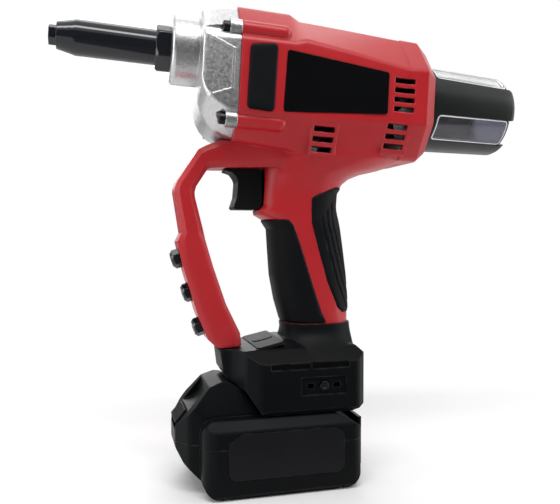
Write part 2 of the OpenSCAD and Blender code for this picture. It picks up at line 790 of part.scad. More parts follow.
module gear_housing() {
  color(metal) on_barrel() difference() {
    union() {
      dome_form(0);
      dome_ribs();
      collar_form();
      front_prism(-dome_depth / 4, skirt_length, wall + gap);
      front_screw_places() bar(-front_lug, front_lug, front_boss_d);
    }
    bar(-collar_length - over, barrel_thread_length + over + gap, barrel_thread_d + 2 * seat_fit);
    bar(-collar_length, collar_length, barrel_bore + 2 * gap);
    bar(front_bearing_u, skirt_length - front_bearing_u + over, bearing_od + 2 * seat_fit);
    bar(gear_u - 2 * gap, skirt_length, nut_gear_od + 4 * gap);
    translate([0, 0, -axis_gap]) {
      bar(gear_u - 2 * gap, skirt_length, pinion_od + 4 * gap);
      bar(gear_u - pinion_nose_length - gap, skirt_length, pinion_nose_d + 2 * run_fit);
    }
    front_screw_places() {
      bar(-front_lug - over, 2 * front_lug, front_screw_d + 2 * run_fit);
      bar(-collar_length, collar_length - front_lug, front_screw_head_d + 2 * gap);
    }
  }
}
module gear_housing_screws() {
  color(steel) on_barrel() front_screw_places() {
    bar(-front_lug - front_screw_head_t, front_screw_head_t, front_screw_head_d);
    bar(-front_lug, front_screw_length, front_screw_d);
  }
}
module gear_cover() {
  color(metal) on_barrel() difference() {
    front_prism(cover_u, cover_u + cover_t, wall + gap);
    bar(cover_u - over, bearing_t + over, bearing_od + 2 * seat_fit);
    bar(cover_u, 2 * cover_t, spindle_d + 4 * gap);
    translate([0, 0, -axis_gap]) bar(cover_u - over, 2 * cover_t, pinion_shaft_d + 4 * gap);
  }
}

// Barrel, its lock nut and the nosepieces
module nose_housing() {
  thread_end = flange_u + barrel_thread_length;
  color(dark_steel) on_barrel() turned([
    [nosepiece_thread_d / 2 + seat_fit, barrel_front_u],
    [barrel_tip_d / 2, barrel_front_u],
    [barrel_d / 2, barrel_front_u + barrel_taper],
    [barrel_d / 2, lock_nut_u],
    [barrel_thread_d / 2, lock_nut_u],
    [barrel_thread_d / 2, thread_end],
    [barrel_bore / 2, thread_end],
    [barrel_bore / 2, barrel_front_u + nosepiece_shank],
    [nosepiece_thread_d / 2 + seat_fit, barrel_front_u + nosepiece_shank]]);
}
module hex_bar(u, length, af) {
  translate([u, 0, 0]) rotate([0, 90, 0]) cylinder(h = length, d = af / cos(30), $fn = 6);
}
module nose_lock_nut() {
  chamfer = lock_nut_t / 6;
  color(dark_steel) on_barrel() difference() {
    intersection() {
      hex_bar(lock_nut_u, lock_nut_t, lock_nut_af);
      turned([[0, lock_nut_u], [lock_nut_af / 2, lock_nut_u], [lock_nut_af / 2 + chamfer, lock_nut_u + chamfer],
        [lock_nut_af / 2 + chamfer, flange_u], [0, flange_u]]);
    }
    bar(lock_nut_u - over, lock_nut_t + 2 * over, barrel_thread_d + 2 * seat_fit);
  }
}
module nosepiece() {
  color(dark_steel) on_barrel() difference() {
    union() {
      hex_bar(barrel_front_u - nosepiece_head, nosepiece_head, nosepiece_af);
      bar(barrel_front_u, nosepiece_shank, nosepiece_thread_d);
    }
    bar(barrel_front_u - nosepiece_head - over, nosepiece_head + nosepiece_shank + 2 * over, nosepiece_bore);
  }
}
module spare_nosepieces() {
  chamfer = spare_head / 6;
  color(dark_steel) for (s = spare_shares) on_spare(s) difference() {
    union() {
      intersection() {
        hex_bar(-spare_head, spare_head, spare_af);
        turned([[0, -spare_head], [spare_af / 2 - chamfer, -spare_head],
          [spare_af / 2 + chamfer, 2 * chamfer - spare_head], [spare_af / 2 + chamfer, -chamfer],
          [spare_af / 2, 0], [0, 0]]);
      }
      bar(0, spare_shank, spare_shank_d);
    }
    bar(-spare_head - over, spare_head + spare_shank + 2 * over, nosepiece_bore);
  }
}

// Side pads, bare plate and soft pads of the grip
module side_bumper_left() { color(rubber) on_barrel() bumper_form(-1); }
module side_bumper_right() { color(rubber) on_barrel() bumper_form(1); }
module name_plate() { color(black) on_barrel() name_plate_form(0); }
module pad_half(shares, span, side) {
  rows = [for (i = [span[0]:span[1]]) grip_rows_shares[i]];
  color(rubber) intersection() {
    difference() {
      grip_form(-pad_proud, rows);
      grip_form(pad_seat - seat_fit, rows);
    }
    pad_mask(shares);
    half_space(side);
  }
}
module grip_front_left() { pad_half(front_pad_shares, front_pad_rows, -1); }
module grip_front_right() { pad_half(front_pad_shares, front_pad_rows, 1); }
module grip_rear_left() { pad_half(rear_pad_shares, rear_pad_rows, -1); }
module grip_rear_right() { pad_half(rear_pad_shares, rear_pad_rows, 1); }

// Base between the grip and the battery
base_size = [base_length, base_height];
base_lo = [base_front, base_bottom];
function base_point(s) = [base_front + s.x * base_length, base_bottom + s.y * base_height];
panel_a = base_point(base_side_shares[len(base_side_shares) - 1]);
panel_b = base_point(base_side_shares[len(base_side_shares) - 2]);
panel_slope = atan2(panel_b.y - panel_a.y, panel_b.x - panel_a.x);
module on_panel() {
  mid = (panel_a + panel_b) / 2;
  translate([mid.x, 0, mid.y]) rotate([0, -panel_slope, 0]) children();
}
module plate_yz(pts, x0, x1) {
  translate([x0, 0, 0]) rotate([90, 0, 90]) linear_extrude(height = x1 - x0) polygon(pts);
}
module plate_xy(pts, z0, z1) {
  translate([0, 0, z0]) linear_extrude(height = z1 - z0) polygon(pts);
}
function both_sides(pts) = concat(pts, [for (i = [len(pts) - 1:-1:0]) [-pts[i].x, pts[i].y, pts[i].z]]);
function flare_ring(row) =
  let (foot = grip_rows_shares[0])
  let (deep = base_height / grip_depth)
  let (wide = base_height / grip_width)
  [for (p = grip_ring([0, foot[1] - row[1] * deep, foot[2] + row[2] * deep, foot[3] + row[3] * wide], 0))
    [p.x, p.y, p.z + row[0] * base_height]];
module base_flare() {
  loft([for (row = base_flare_shares) flare_ring(row)]);
}
module base_form() {
  side = rounded(placed(base_side_shares, base_lo, base_size, base_corner_r), arc_steps);
  plan = rounded(mirrored(placed(base_plan_shares, [base_front, 0], [base_length, base_width], base_corner_r)),
    arc_steps);
  shoulder = rounded(both_sides(placed(base_shoulder_shares, [0, base_bottom], [base_width, base_height],
    base_corner_r)), arc_steps);
  intersection() {
    plate_xz(side, -base_width, base_width);
    plate_xy(plan, 0, 2 * base_top);
    plate_yz(shoulder, -base_length, base_length);
  }
}
// Sliding deck of the battery and the channel that takes it
deck_neck = deck_neck_share * battery_width;
deck_lip = deck_lip_share * battery_width;
deck_front = deck_front_share * battery_length;
deck_rear = deck_rear_share * battery_length;
deck_top = battery_height + deck_height;
terminal_x = deck_rear + 2 * gap;
channel_rear = terminal_x + terminal_length + seat_fit;
module deck_profile(neck, lip, foot, lip_foot, top, x0, x1) {
  plate_yz([[-neck, foot], [neck, foot], [neck, lip_foot], [lip, lip_foot], [lip, top], [-lip, top],
    [-lip, lip_foot], [-neck, lip_foot]], x0, x1);
}
module oblong(length, width, r, z0, z1) {
  plate_xy(rounded(placed([[0, 0], [1, 0], [1, 1], [0, 1]], [-length / 2, -width / 2], [length, width], r),
    arc_steps), z0, z1);
}
panel_under = panel_proud - panel_t;
module base_side_cuts(side) {
  face = base_width / 2;
  module from_side(depth) {
    rotate([90, 0, 0]) translate([0, 0, side > 0 ? -face - over : face - depth])
      linear_extrude(height = depth + over) children();
  }
  hook = base_point(hook_shares);
  for (s = base_slot_shares) {
    p = base_point(s);
    from_side(base_slot_depth) translate([p.x, p.y])
      polygon(rounded(placed([[0, 0], [1, 0], [1, 1], [0, 1]], [-base_slot_length / 2, -base_slot_h / 2],
        [base_slot_length, base_slot_h], base_slot_h / 4), loft_steps));
  }
  from_side(hook_seat_depth) translate(hook)
    polygon(placed([[0, 0], [1, 0], [1, 1], [0, 1]], [-hook_seat_length / 2, -hook_seat_h / 2],
      [hook_seat_length, hook_seat_h], 0) * [[1, 0], [0, 1], [0, 0]]);
  for (i = [-1, 1]) from_side(hook_pin_depth) translate([hook.x + i * hook_pin_pitch / 2, hook.y])
    square([hook_pin_l, hook_pin_h], center = true);
  inner = side > 0 ? face - hook_seat_depth - hook_thread_depth : -face - over;
  across(hook, inner, inner + hook_seat_depth + hook_thread_depth + over, hook_thread_d + 2 * run_fit);
}
module base_half(side) {
  difference() {
    intersection() {
      union() {
        base_form();
        base_flare();
      }
      half_space(side);
    }
    grip_form(-gap, [for (i = [0, 1]) grip_rows_shares[i]]);
    deck_profile(deck_neck + gap, deck_lip + gap, 0, battery_height + deck_height - deck_lip_h - gap,
      deck_top + gap, 2 * base_front, channel_rear);
    translate([terminal_x - seat_fit, -terminal_width / 2 - seat_fit, deck_top])
      cube([terminal_length + 2 * seat_fit, terminal_width + 2 * seat_fit, terminal_sink + seat_fit]);
    on_panel() {
      oblong(panel_length, panel_width, panel_corner_r, panel_under, panel_t + over);
      oblong(button_length + 2 * button_flange + 2 * gap, button_width + 2 * button_flange + 2 * gap,
        button_width / 2, -board_drop - board_t / 2, over);
      translate([-board_length / 2 - seat_fit, -board_width / 2 - seat_fit, -board_drop - board_t - seat_fit])
        cube([board_length + 2 * seat_fit, board_width + 2 * seat_fit, board_t + 2 * seat_fit]);
    }
    tongue_form(seat_fit);
    base_side_cuts(side);
    boss_cuts([for (s = base_screw_shares) base_point(s)], boss_seat);
  }
}
module tongue_form(extra) {
  foot = guard_rows_shares[len(guard_rows_shares) - 1];
  a = guard_place(foot[0], foot[1]);
  b = guard_place(foot[2], foot[3]);
  x = (a.x + b.x) / 2;
  translate([x - tongue_length / 2 - extra, -tongue_width / 2 - extra, a.y - tongue_depth - extra])
    cube([tongue_length + 2 * extra, tongue_width + 2 * extra, tongue_depth + tongue_length / 2]);
}
module base_left() { color(black) base_half(-1); }
module base_right() { color(black) base_half(1); }
module base_screws() {
  color(steel) half_screws([for (s = base_screw_shares) base_point(s)], boss_seat);
}
module hook_screw() {
  hook = base_point(hook_shares);
  seat = hook_seat_depth - base_width / 2;
  color(metal) {
    across(hook, seat, seat + hook_thread_depth - gap, hook_thread_d);
    across(hook, seat - hook_head_t, seat, hook_head_d);
  }
}
module control_panel() {
  color(rubber) on_panel() difference() {
    oblong(panel_length, panel_width, panel_corner_r, panel_under, panel_proud);
    oblong(button_length + 2 * gap, button_width + 2 * gap, button_width / 2, -panel_t, panel_t);
  }
}
module panel_button() {
  color(black) on_panel() {
    oblong(button_length, button_width, button_width / 2 - gap, panel_under - gap - button_flange / 2,
      button_proud);
    oblong(button_length + button_flange, button_width + button_flange, button_width / 2,
      panel_under - gap - button_flange, panel_under - gap);
  }
}
module control_board() {
  switch_top = panel_under - gap - button_flange - button_travel - gap;
  color("darkgreen") on_panel() {
    translate([-board_length / 2, -board_width / 2, -board_drop - board_t])
      cube([board_length, board_width, board_t]);
    oblong(button_width, button_width, button_width / 4, -board_drop, switch_top);
  }
}
module terminal_block() {
  level = battery_height + deck_height / 2;
  color(black) translate([terminal_x, -terminal_width / 2, base_bottom])
    cube([terminal_length, terminal_width, deck_top + terminal_sink - base_bottom]);
  color("goldenrod") blade_places()
    translate([terminal_x - blade_length, -blade_t / 2, level - blade_h / 2])
      cube([blade_length + terminal_length / 2, blade_t, blade_h]);
}
module blade_places() {
  for (i = [0:blade_count - 1]) translate([0, (i - (blade_count - 1) / 2) * blade_pitch, 0]) children();
}

// Trigger and its switch
module trigger() {
  outline = rounded(placed(trigger_shares, [trigger_x, switch_z], [trigger_length, trigger_height],
    trigger_corner_r), arc_steps);
  color(rubber) {
    plate_xz(outline, -trigger_width / 2, trigger_width / 2);
    translate([0, 0, stem_z]) bar(trigger_back - stem_sink, switch_x - trigger_back + 2 * stem_sink, stem_d);
  }
}
module trigger_switch() {
  color(black) difference() {
    translate([switch_x, -switch_width / 2, switch_z]) cube([switch_length, switch_width, switch_height]);
    translate([0, 0, stem_z])
      bar(switch_x - over, over + 2 * stem_sink + trigger_travel, stem_d + 2 * gap);
  }
}

// Motor, gearbox and final drive
module motor_can() {
  color(steel) on_drive() difference() {
    bar(motor_u, motor_length, motor_d);
    bar(motor_u - over, motor_length + 2 * over, motor_shaft_d + 2 * run_fit);
  }
}
fan_u = motor_end_u + fan_clear;
module motor_rotor() {
  front = gearbox_u + gearbox_length / 2 + gap;
  color(metal) on_drive() bar(front, fan_u + fan_t + shaft_tail - front, motor_shaft_d);
}
module motor_fan() {
  color(black) on_drive() difference() {
    union() {
      bar(fan_u, fan_t, fan_hub_d);
      bar(fan_u, fan_blade_t, fan_d);
      for (i = [0:fan_blades - 1]) rotate([360 * i / fan_blades, 0, 0])
        translate([fan_u, -fan_blade_t / 2, fan_hub_d / 4])
          cube([fan_t, fan_blade_t, fan_d / 2 - fan_hub_d / 4]);
    }
    bar(fan_u - over, fan_t + 2 * over, motor_shaft_d);
  }
}
module gearbox() {
  mid = gearbox_length / 2;
  color(metal) on_drive() difference() {
    bar(gearbox_u, gearbox_length, motor_d);
    bar(gearbox_u - over, mid + over, pinion_shaft_d + 2 * run_fit);
    bar(gearbox_u + mid, gearbox_length, motor_shaft_d + 2 * run_fit);
  }
}
// Involute tooth outline, one tooth pointing along +X
function inv(a) = tan(a) * 180 / PI - a;
function gear_outline(teeth) =
  let (rp = gear_module * teeth / 2,
    rb = rp * cos(pressure),
    rr = rp - dedendum_share * gear_module,
    ra = rp + addendum_share * gear_module,
    r0 = max(rb, rr),
    at_pitch = 90 / teeth - backlash / 4 / rp * 180 / PI + inv(pressure),
    radii = concat(rr < rb ? [rr] : [], [for (i = [0:flank_steps]) blend(r0, ra, i / flank_steps)]),
    half = [for (r = radii) at_pitch - inv(acos(min(1, rb / max(r, rb))))],
    n = len(radii))
  [for (k = [0:teeth - 1]) each concat(
    [for (i = [0:n - 1]) radii[i] * [cos(360 * k / teeth - half[i]), sin(360 * k / teeth - half[i])]],
    [for (i = [n - 1:-1:0]) radii[i] * [cos(360 * k / teeth + half[i]), sin(360 * k / teeth + half[i])]])];
module gear(teeth, u, t, turn) {
  translate([u, 0, 0]) rotate([90, 0, 90]) linear_extrude(height = t) rotate(turn) polygon(gear_outline(teeth));
}
module drive_pinion() {
  color(steel) on_drive() {
    gear(pinion_teeth, gear_u - gap, gear_t + over, 90 + 180 / pinion_teeth);
    bar(gear_u - pinion_nose_length, pinion_nose_length, pinion_nose_d);
    bar(gear_u + gear_t, gearbox_u + gearbox_length / 2 - gap - gear_u - gear_t, pinion_shaft_d);
  }
}
module nut_gear() {
  color(steel) on_barrel() difference() {
    gear(nut_teeth, gear_u, gear_t, -90);
    bar(gear_u - over, gear_t + 2 * over, nut_d + 2 * seat_fit);
  }
}
nut_front_u = front_bearing_u + bearing_t + seat_fit;
module screw_nut() {
  rear = cover_u - seat_fit;
  color(metal) on_barrel() difference() {
    union() {
      bar(nut_front_u, rear - nut_front_u, nut_d);
      bar(front_bearing_u + nut_shoulder, bearing_t + nut_shoulder, nut_journal_d);
      bar(rear - nut_shoulder, bearing_t, nut_journal_d);
    }
    bar(front_bearing_u - over, 2 * skirt_length + bearing_od, spindle_d + 2 * run_fit);
  }
}
module bearing(u) {
  color(metal) on_barrel() difference() {
    bar(u, bearing_t, bearing_od);
    bar(u - over, bearing_t + 2 * over, nut_journal_d + 2 * run_fit);
  }
}
module nut_front_bearing() { bearing(front_bearing_u); }
module nut_rear_bearing() { bearing(cover_u); }

// Pulling screw and jaws
module pulling_screw() {
  color(steel) on_barrel() difference() {
    union() {
      bar(screw_front_u, screw_rear_u - screw_front_u, spindle_d);
      bar(screw_front_u - screw_nose_length, screw_nose_length + over, screw_nose_d);
    }
    bar(screw_front_u - screw_nose_length - over, body_length * 2, spindle_bore);
  }
}
cone_u = jaw_case_u + jaw_lip;
chamber_u = cone_u + jaw_cone_length;
module jaw_case() {
  color(steel) on_barrel() turned([
    [jaw_mouth_d / 2, jaw_case_u], [jaw_case_d / 2, jaw_case_u],
    [jaw_case_d / 2, screw_front_u], [jaw_chamber_d / 2, screw_front_u],
    [jaw_chamber_d / 2, chamber_u], [jaw_mouth_d / 2, cone_u]]);
}
module jaws() {
  sector = 360 / jaw_count - 2 * asin(jaw_split / jaw_chamber_d);
  color(metal) on_barrel() rotate([0, 90, 0]) for (i = [0:jaw_count - 1])
    rotate(360 * i / jaw_count) rotate_extrude(angle = sector)
      polygon([[jaw_bore / 2, cone_u], [jaw_mouth_d / 2 - seat_fit, cone_u],
        [jaw_chamber_d / 2 - seat_fit, chamber_u], [jaw_bore / 2, chamber_u]]);
}
pusher_u = chamber_u + seat_fit;
module jaw_pusher() {
  color(steel) on_barrel() difference() {
    bar(pusher_u, pusher_length, jaw_chamber_d - 2 * seat_fit);
    bar(pusher_u - over, pusher_length + 2 * over, 2 * jaw_bore);
  }
}
// Spring between the pusher and the screw's nose: one unbroken wire
spring_u = pusher_u + pusher_length + seat_fit;
spring_length = screw_front_u - screw_nose_length - seat_fit - spring_u;
spring_sides = 6;
spring_rings = 8;
spring_pitch = (spring_length - spring_wire) / spring_turns;
echo(spring_gap = spring_pitch - spring_wire);
function coil_ring(t) =
  let (r = (spring_d - spring_wire) / 2, a = 360 * t)
  [for (j = [0:spring_sides - 1]) let (b = -360 * j / spring_sides, q = r + spring_wire / 2 * cos(b))
    [spring_u + spring_wire / 2 + spring_pitch * t + spring_wire / 2 * sin(b), q * cos(a), q * sin(a)]];
module jaw_spring() {
  color(steel) on_barrel()
    loft([for (i = [0:spring_turns * spring_rings]) coil_ring(i / spring_rings)]);
}
module mandrel_tube() {
  color(metal) on_barrel() difference() {
    bar(tube_front_u, body_length + tube_tail - tube_front_u, tube_d);
    bar(tube_front_u - over, body_length * 2, tube_bore);
  }
}

// Collector for spent mandrels
sleeve_front_r = collector_d / 2;
sleeve_rear_r = collector_rear_d / 2;
module collector_sleeve() {
  spigot_r = spigot_d / 2;
  inner = spigot_r - spigot_wall;
  color(black) on_collector() difference() {
    turned([[inner, -spigot_length], [spigot_r, -spigot_length], [spigot_r, sleeve_gap],
      [sleeve_front_r, sleeve_gap], [sleeve_front_r, window_front],
      [sleeve_rear_r, collector_length - sleeve_edge_r],
      [sleeve_rear_r - sleeve_edge_r / 2, collector_length],
      [sleeve_rear_r - sleeve_edge_r, collector_length],
      [sleeve_rear_r - sleeve_wall, collector_length - sleeve_edge_r],
      [sleeve_front_r - sleeve_wall, window_front], [inner, window_front]]);
    turned([[spigot_r - seal_d / 2, -spigot_length / 2 - seal_d / 2],
      [collector_d, -spigot_length / 2 - seal_d / 2],
      [collector_d, seal_d / 2 - spigot_length / 2], [spigot_r - seal_d / 2, seal_d / 2 - spigot_length / 2]]);
    collector_windows(0);
  }
}
// The windows run out through the end of the sleeve, and panes of the cup fill them
module collector_windows(inset) {
  foot = window_front + window_sill + inset;
  half = window_width / 2 - inset;
  for (i = [0:window_count - 1]) rotate([90 - window_turn + (i + half_share) * 360 / window_count, 0, 0])
    plate_xy(rounded([[foot, -half, window_corner_r], [2 * collector_length, -half, 0],
      [2 * collector_length, half, 0], [foot, half, window_corner_r]], arc_steps),
      sleeve_rear_r / 2, collector_d);
}
module collector_cup() {
  f = sleeve_front_r - sleeve_wall - seat_fit;
  r = sleeve_rear_r - sleeve_wall - seat_fit;
  end = collector_length - sleeve_edge_r - seat_fit;
  color(clear) on_collector() {
    turned([
      [f - cup_wall, window_front], [f, window_front], [r, end - cup_wall], [r - cup_wall, end], [0, end],
      [0, end - cup_wall], [r - cup_wall, end - cup_wall]]);
    intersection() {
      collector_windows(seat_fit);
      turned([[f - cup_wall / 2, window_front], [sleeve_front_r - pane_sink, window_front],
        [sleeve_rear_r - pane_sink, end - cup_wall], [sleeve_rear_r - cup_wall, end], [r - cup_wall, end],
        [r - cup_wall / 2, end - cup_wall]]);
    }
  }
}
module collector_seal() {
  r = spigot_d / 2;
  mid = -spigot_length / 2;
  color(rubber) on_collector() turned([
    [r - seal_d / 2 + seat_fit, mid - seal_d / 2 + seat_fit], [r + gap / 2, mid - seal_d / 2 + seat_fit],
    [r + gap / 2, mid + seal_d / 2 - seat_fit], [r - seal_d / 2 + seat_fit, mid + seal_d / 2 - seat_fit]]);
}

// Battery
battery_size = [battery_length, battery_height];
seam_z = battery_seam_share * battery_height;
cavity_x = ((cell_columns - 1) * cell_pitch + cell_d) / 2 + gap;
cavity_y = cell_length / 2 + gap;
module three_views(side_shares, plan_shares, front_shares) {
  side = rounded(placed(side_shares, [0, 0], battery_size, battery_corner_r), arc_steps);
  plan = rounded(mirrored(placed(plan_shares, [0, 0], [battery_length, battery_width], battery_corner_r)),
    arc_steps);
  front = rounded(both_sides(placed(front_shares, [0, 0], [battery_width, battery_height], battery_corner_r)),
    arc_steps);
  intersection() {
    plate_xz(side, -battery_width, battery_width);
    plate_xy(plan, -over, 2 * battery_height);
    plate_yz(front, -battery_length, battery_length);
  }
}
module battery_form() {
  rear = rear_plate_shares;
  three_views(block_side_shares, block_plan_shares, block_front_shares);
  difference() {
    three_views(chin_side_shares, chin_plan_shares, chin_front_shares);
    on_release() translate([scoop_shift, scoop_width / 2, scoop_r - scoop_depth]) rotate([90, 0, 0])
      cylinder(h = scoop_width, r = scoop_r);
  }
  translate([battery_length / 2 - over, -rear[0] * battery_width, rear[1] * battery_height])
    cube([over + rear_plate_t, 2 * rear[0] * battery_width, (rear[2] - rear[1]) * battery_height]);
}
// The cavity's corners follow the outline's, a wall further in
module battery_cavity(inset) {
  x = cavity_x - inset;
  y = cavity_y - inset;
  top = battery_height - battery_wall - inset;
  cut = 2 * battery_wall;
  low = block_side_shares[2].y * battery_height - inset;
  high = block_side_shares[1].x * battery_length - battery_wall / 2 - inset;
  intersection() {
    plate_xz([[cut - x, battery_wall], [x - cut, battery_wall], [x, battery_wall + cut], [x, low], [high, top],
      [cut - x, top], [-x, top - cut], [-x, battery_wall + cut]], -y, y);
    plate_yz([[-y, 0], [y, 0], [y, top - battery_wall], [y - battery_wall, top], [battery_wall - y, top],
      [-y, top - battery_wall]], -battery_length, battery_length);
  }
}
battery_screw_y = (cavity_y + battery_width / 2) / 2;
module battery_screw_places() {
  for (s = battery_screw_shares, side = [-1, 1])
    translate([s * battery_length, side * battery_screw_y, 0]) children();
}
module battery_case(low) {
  difference() {
    intersection() {
      union() {
        battery_form();
        deck_profile(deck_neck, deck_lip, battery_height - over, deck_top - deck_lip_h, deck_top,
          deck_front, deck_rear);
      }
      translate([-battery_length, -battery_width, low ? -battery_height : seam_z])
        cube([2 * battery_length, 2 * battery_width, low ? battery_height + seam_z : 2 * battery_height]);
    }
    battery_cavity(0);
    battery_screw_places() {
      cylinder(h = seam_z + screw_grip, d = battery_screw_d + 2 * run_fit);
      translate([0, 0, -over]) cylinder(h = over + battery_screw_sink + battery_screw_head_t,
        d = battery_screw_head_d + 2 * seat_fit);
    }
    blade_places() translate([terminal_x - blade_length - over, -blade_t / 2 - gap, battery_height + over])
      cube([blade_length + 2 * terminal_length, blade_t + 2 * gap, deck_height]);
    on_release() translate([release_shift - release_length / 2 - release_slot, -release_width / 2 - gap,
      -release_t - release_travel - gap])
      cube([release_length + release_slot + gap, release_width + 2 * gap, 2 * release_t]);
    battery_plate_form();
  }
}
module battery_lower_case() { color(black) battery_case(true); }
module battery_upper_case() { color(black) battery_case(false); }
// Frame of the sloping front that holds the release button
module on_release() {
  a = chin_side_shares[1];
  b = chin_side_shares[2];
  lo = [a.x * battery_length, a.y * battery_height];
  hi = [b.x * battery_length, b.y * battery_height];
  mid = (lo + hi) / 2;
  translate([mid.x, 0, mid.y]) rotate([0, -atan2(hi.y - lo.y, hi.x - lo.x), 0]) children();
}
module battery_button() {
  color(rubber) on_release() translate([release_shift, 0, 0])
    oblong(release_length, release_width, battery_corner_r / 2, release_sink - release_t, release_sink);
}
module battery_plate_form() {
  pts = rounded(placed(battery_plate_shares, [0, 0], battery_size, battery_corner_r), arc_steps);
  plate_xz(pts, -battery_width / 2 - plate_proud, battery_plate_t - plate_proud - battery_width / 2);
}
module battery_plate() { color(dark_steel) battery_plate_form(); }
module cell_places() {
  for (i = [0:cell_columns - 1], j = [0:cell_rows - 1])
    translate([(i - (cell_columns - 1) / 2) * cell_pitch, 0, battery_wall + gap + cell_pitch * (j + 0.5)])
      rotate([90, 0, 0]) children();
}
module battery_cells() {
  color("steelblue") cell_places() cylinder(h = cell_length, d = cell_d, center = true);
}
holder_top = battery_wall + gap + cell_rows * cell_pitch + cell_web;
module cell_holders() {
  y = cell_length / 2 - holder_inset - holder_t;
  color(black) difference() {
    intersection() {
      for (side = [0, 1]) mirror([0, side, 0]) translate([-cavity_x, y, battery_wall])
        cube([2 * cavity_x, holder_t, holder_top - battery_wall]);
      battery_cavity(gap / 2);
    }
    cell_places() cylinder(h = 2 * cell_length, d = cell_d + 2 * seat_fit, center = true);
  }
}
module battery_board() {
  y = cell_length / 2 - holder_inset - holder_t;
  color("darkgreen") translate([-cavity_x / 2, -y - holder_t / 2, holder_top])
    cube([cavity_x, 2 * y + holder_t, board_t]);
}
module battery_screws() {
  color(steel) battery_screw_places() {
    translate([0, 0, battery_screw_sink]) cylinder(h = battery_screw_head_t, d = battery_screw_head_d);
    translate([0, 0, battery_screw_sink]) cylinder(h = seam_z + screw_grip - battery_screw_sink - gap,
      d = battery_screw_d);
  }
}

housing_left();
housing_right();
housing_screws();
gear_housing();
gear_housing_screws();
gear_cover();
nose_housing();
nose_lock_nut();
nosepiece();
spare_nosepieces();
side_bumper_left();
side_bumper_right();
name_plate();
grip_front_left();
grip_front_right();
grip_rear_left();
grip_rear_right();
base_left();
base_right();
base_screws();
hook_screw();
control_panel();
panel_button();
control_board();
terminal_block();
trigger();
trigger_switch();
motor_can();
motor_rotor();
motor_fan();
gearbox();
drive_pinion();
screw_nut();
nut_gear();
nut_front_bearing();
nut_rear_bearing();
pulling_screw();
jaw_case();
jaws();
jaw_pusher();
jaw_spring();
mandrel_tube();
collector_sleeve();
collector_cup();
collector_seal();
battery_lower_case();
battery_upper_case();
battery_button();
battery_cells();
cell_holders();
battery_board();
battery_screws();
battery_plate();
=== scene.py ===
import math

import bmesh
import bpy
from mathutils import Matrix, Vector


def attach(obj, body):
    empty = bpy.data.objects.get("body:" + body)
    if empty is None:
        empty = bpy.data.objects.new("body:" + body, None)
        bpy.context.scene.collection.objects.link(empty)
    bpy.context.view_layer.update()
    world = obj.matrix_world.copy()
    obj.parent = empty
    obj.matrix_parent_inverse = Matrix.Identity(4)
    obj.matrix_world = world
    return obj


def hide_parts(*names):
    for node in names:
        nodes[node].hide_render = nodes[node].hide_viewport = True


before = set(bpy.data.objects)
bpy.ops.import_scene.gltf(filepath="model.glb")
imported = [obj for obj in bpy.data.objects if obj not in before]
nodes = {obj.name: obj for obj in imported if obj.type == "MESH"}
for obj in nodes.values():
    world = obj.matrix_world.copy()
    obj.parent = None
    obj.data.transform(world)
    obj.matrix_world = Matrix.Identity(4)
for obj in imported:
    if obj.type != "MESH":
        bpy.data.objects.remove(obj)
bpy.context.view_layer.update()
scene = bpy.context.scene
scene.view_settings.view_transform = "Standard"

# Studio floor and white surround.
# A pale sweep of paper under the tool: it keeps the contact shadow near the battery and
# goes over to the plain white of the surround further out. From below it is clear.
fill_strength = 0.36
floor_radius, floor_sides, floor_drop = 4.0, 96, 0.0004
shadow_kept, shadow_gone = 0.12, 0.5
paper_white, pure_white = (0.93, 0.93, 0.93, 1), (1, 1, 1, 1)


def place(tree, kind, inputs=(), **settings):
    """Puts one node in a tree, with its settings and its inputs (plain values or sockets to link)."""
    made = tree.nodes.new(kind)
    for name, value in settings.items():
        setattr(made, name, value)
    for name, value in dict(inputs).items():
        if isinstance(value, bpy.types.NodeSocket):
            tree.links.new(value, made.inputs[name])
        else:
            made.inputs[name].default_value = value
    return made


def worked(tree, operation, first, second):
    """The result of one Math node on two values."""
    return place(tree, "ShaderNodeMath", {0: first, 1: second}, operation=operation).outputs[0]


def ranged(tree, value, start, stop, low=0.0, high=1.0, **settings):
    """A value carried over from start..stop to low..high."""
    inputs = {"Value": value, "From Min": start, "From Max": stop, "To Min": low, "To Max": high}
    return place(tree, "ShaderNodeMapRange", inputs, **settings).outputs[0]


def seen_white(tree):
    """1 for rays that show the background: straight from the camera, off gloss or through glass."""
    path = place(tree, "ShaderNodeLightPath").outputs
    seen = worked(tree, "MAXIMUM", path["Is Camera Ray"], path["Is Glossy Ray"])
    return worked(tree, "MAXIMUM", seen, path["Is Transmission Ray"])


world = bpy.data.worlds.new("white_surround")
world.use_nodes = True
scene.world = world
sky = world.node_tree
sky.nodes.clear()
soft_fill = place(sky, "ShaderNodeBackground", {"Color": pure_white, "Strength": fill_strength})
plain_white = place(sky, "ShaderNodeBackground", {"Color": pure_white, "Strength": 1.0})
sky_mix = place(
    sky, "ShaderNodeMixShader", {0: seen_white(sky), 1: soft_fill.outputs[0], 2: plain_white.outputs[0]}
)
place(sky, "ShaderNodeOutputWorld", {"Surface": sky_mix.outputs[0]})

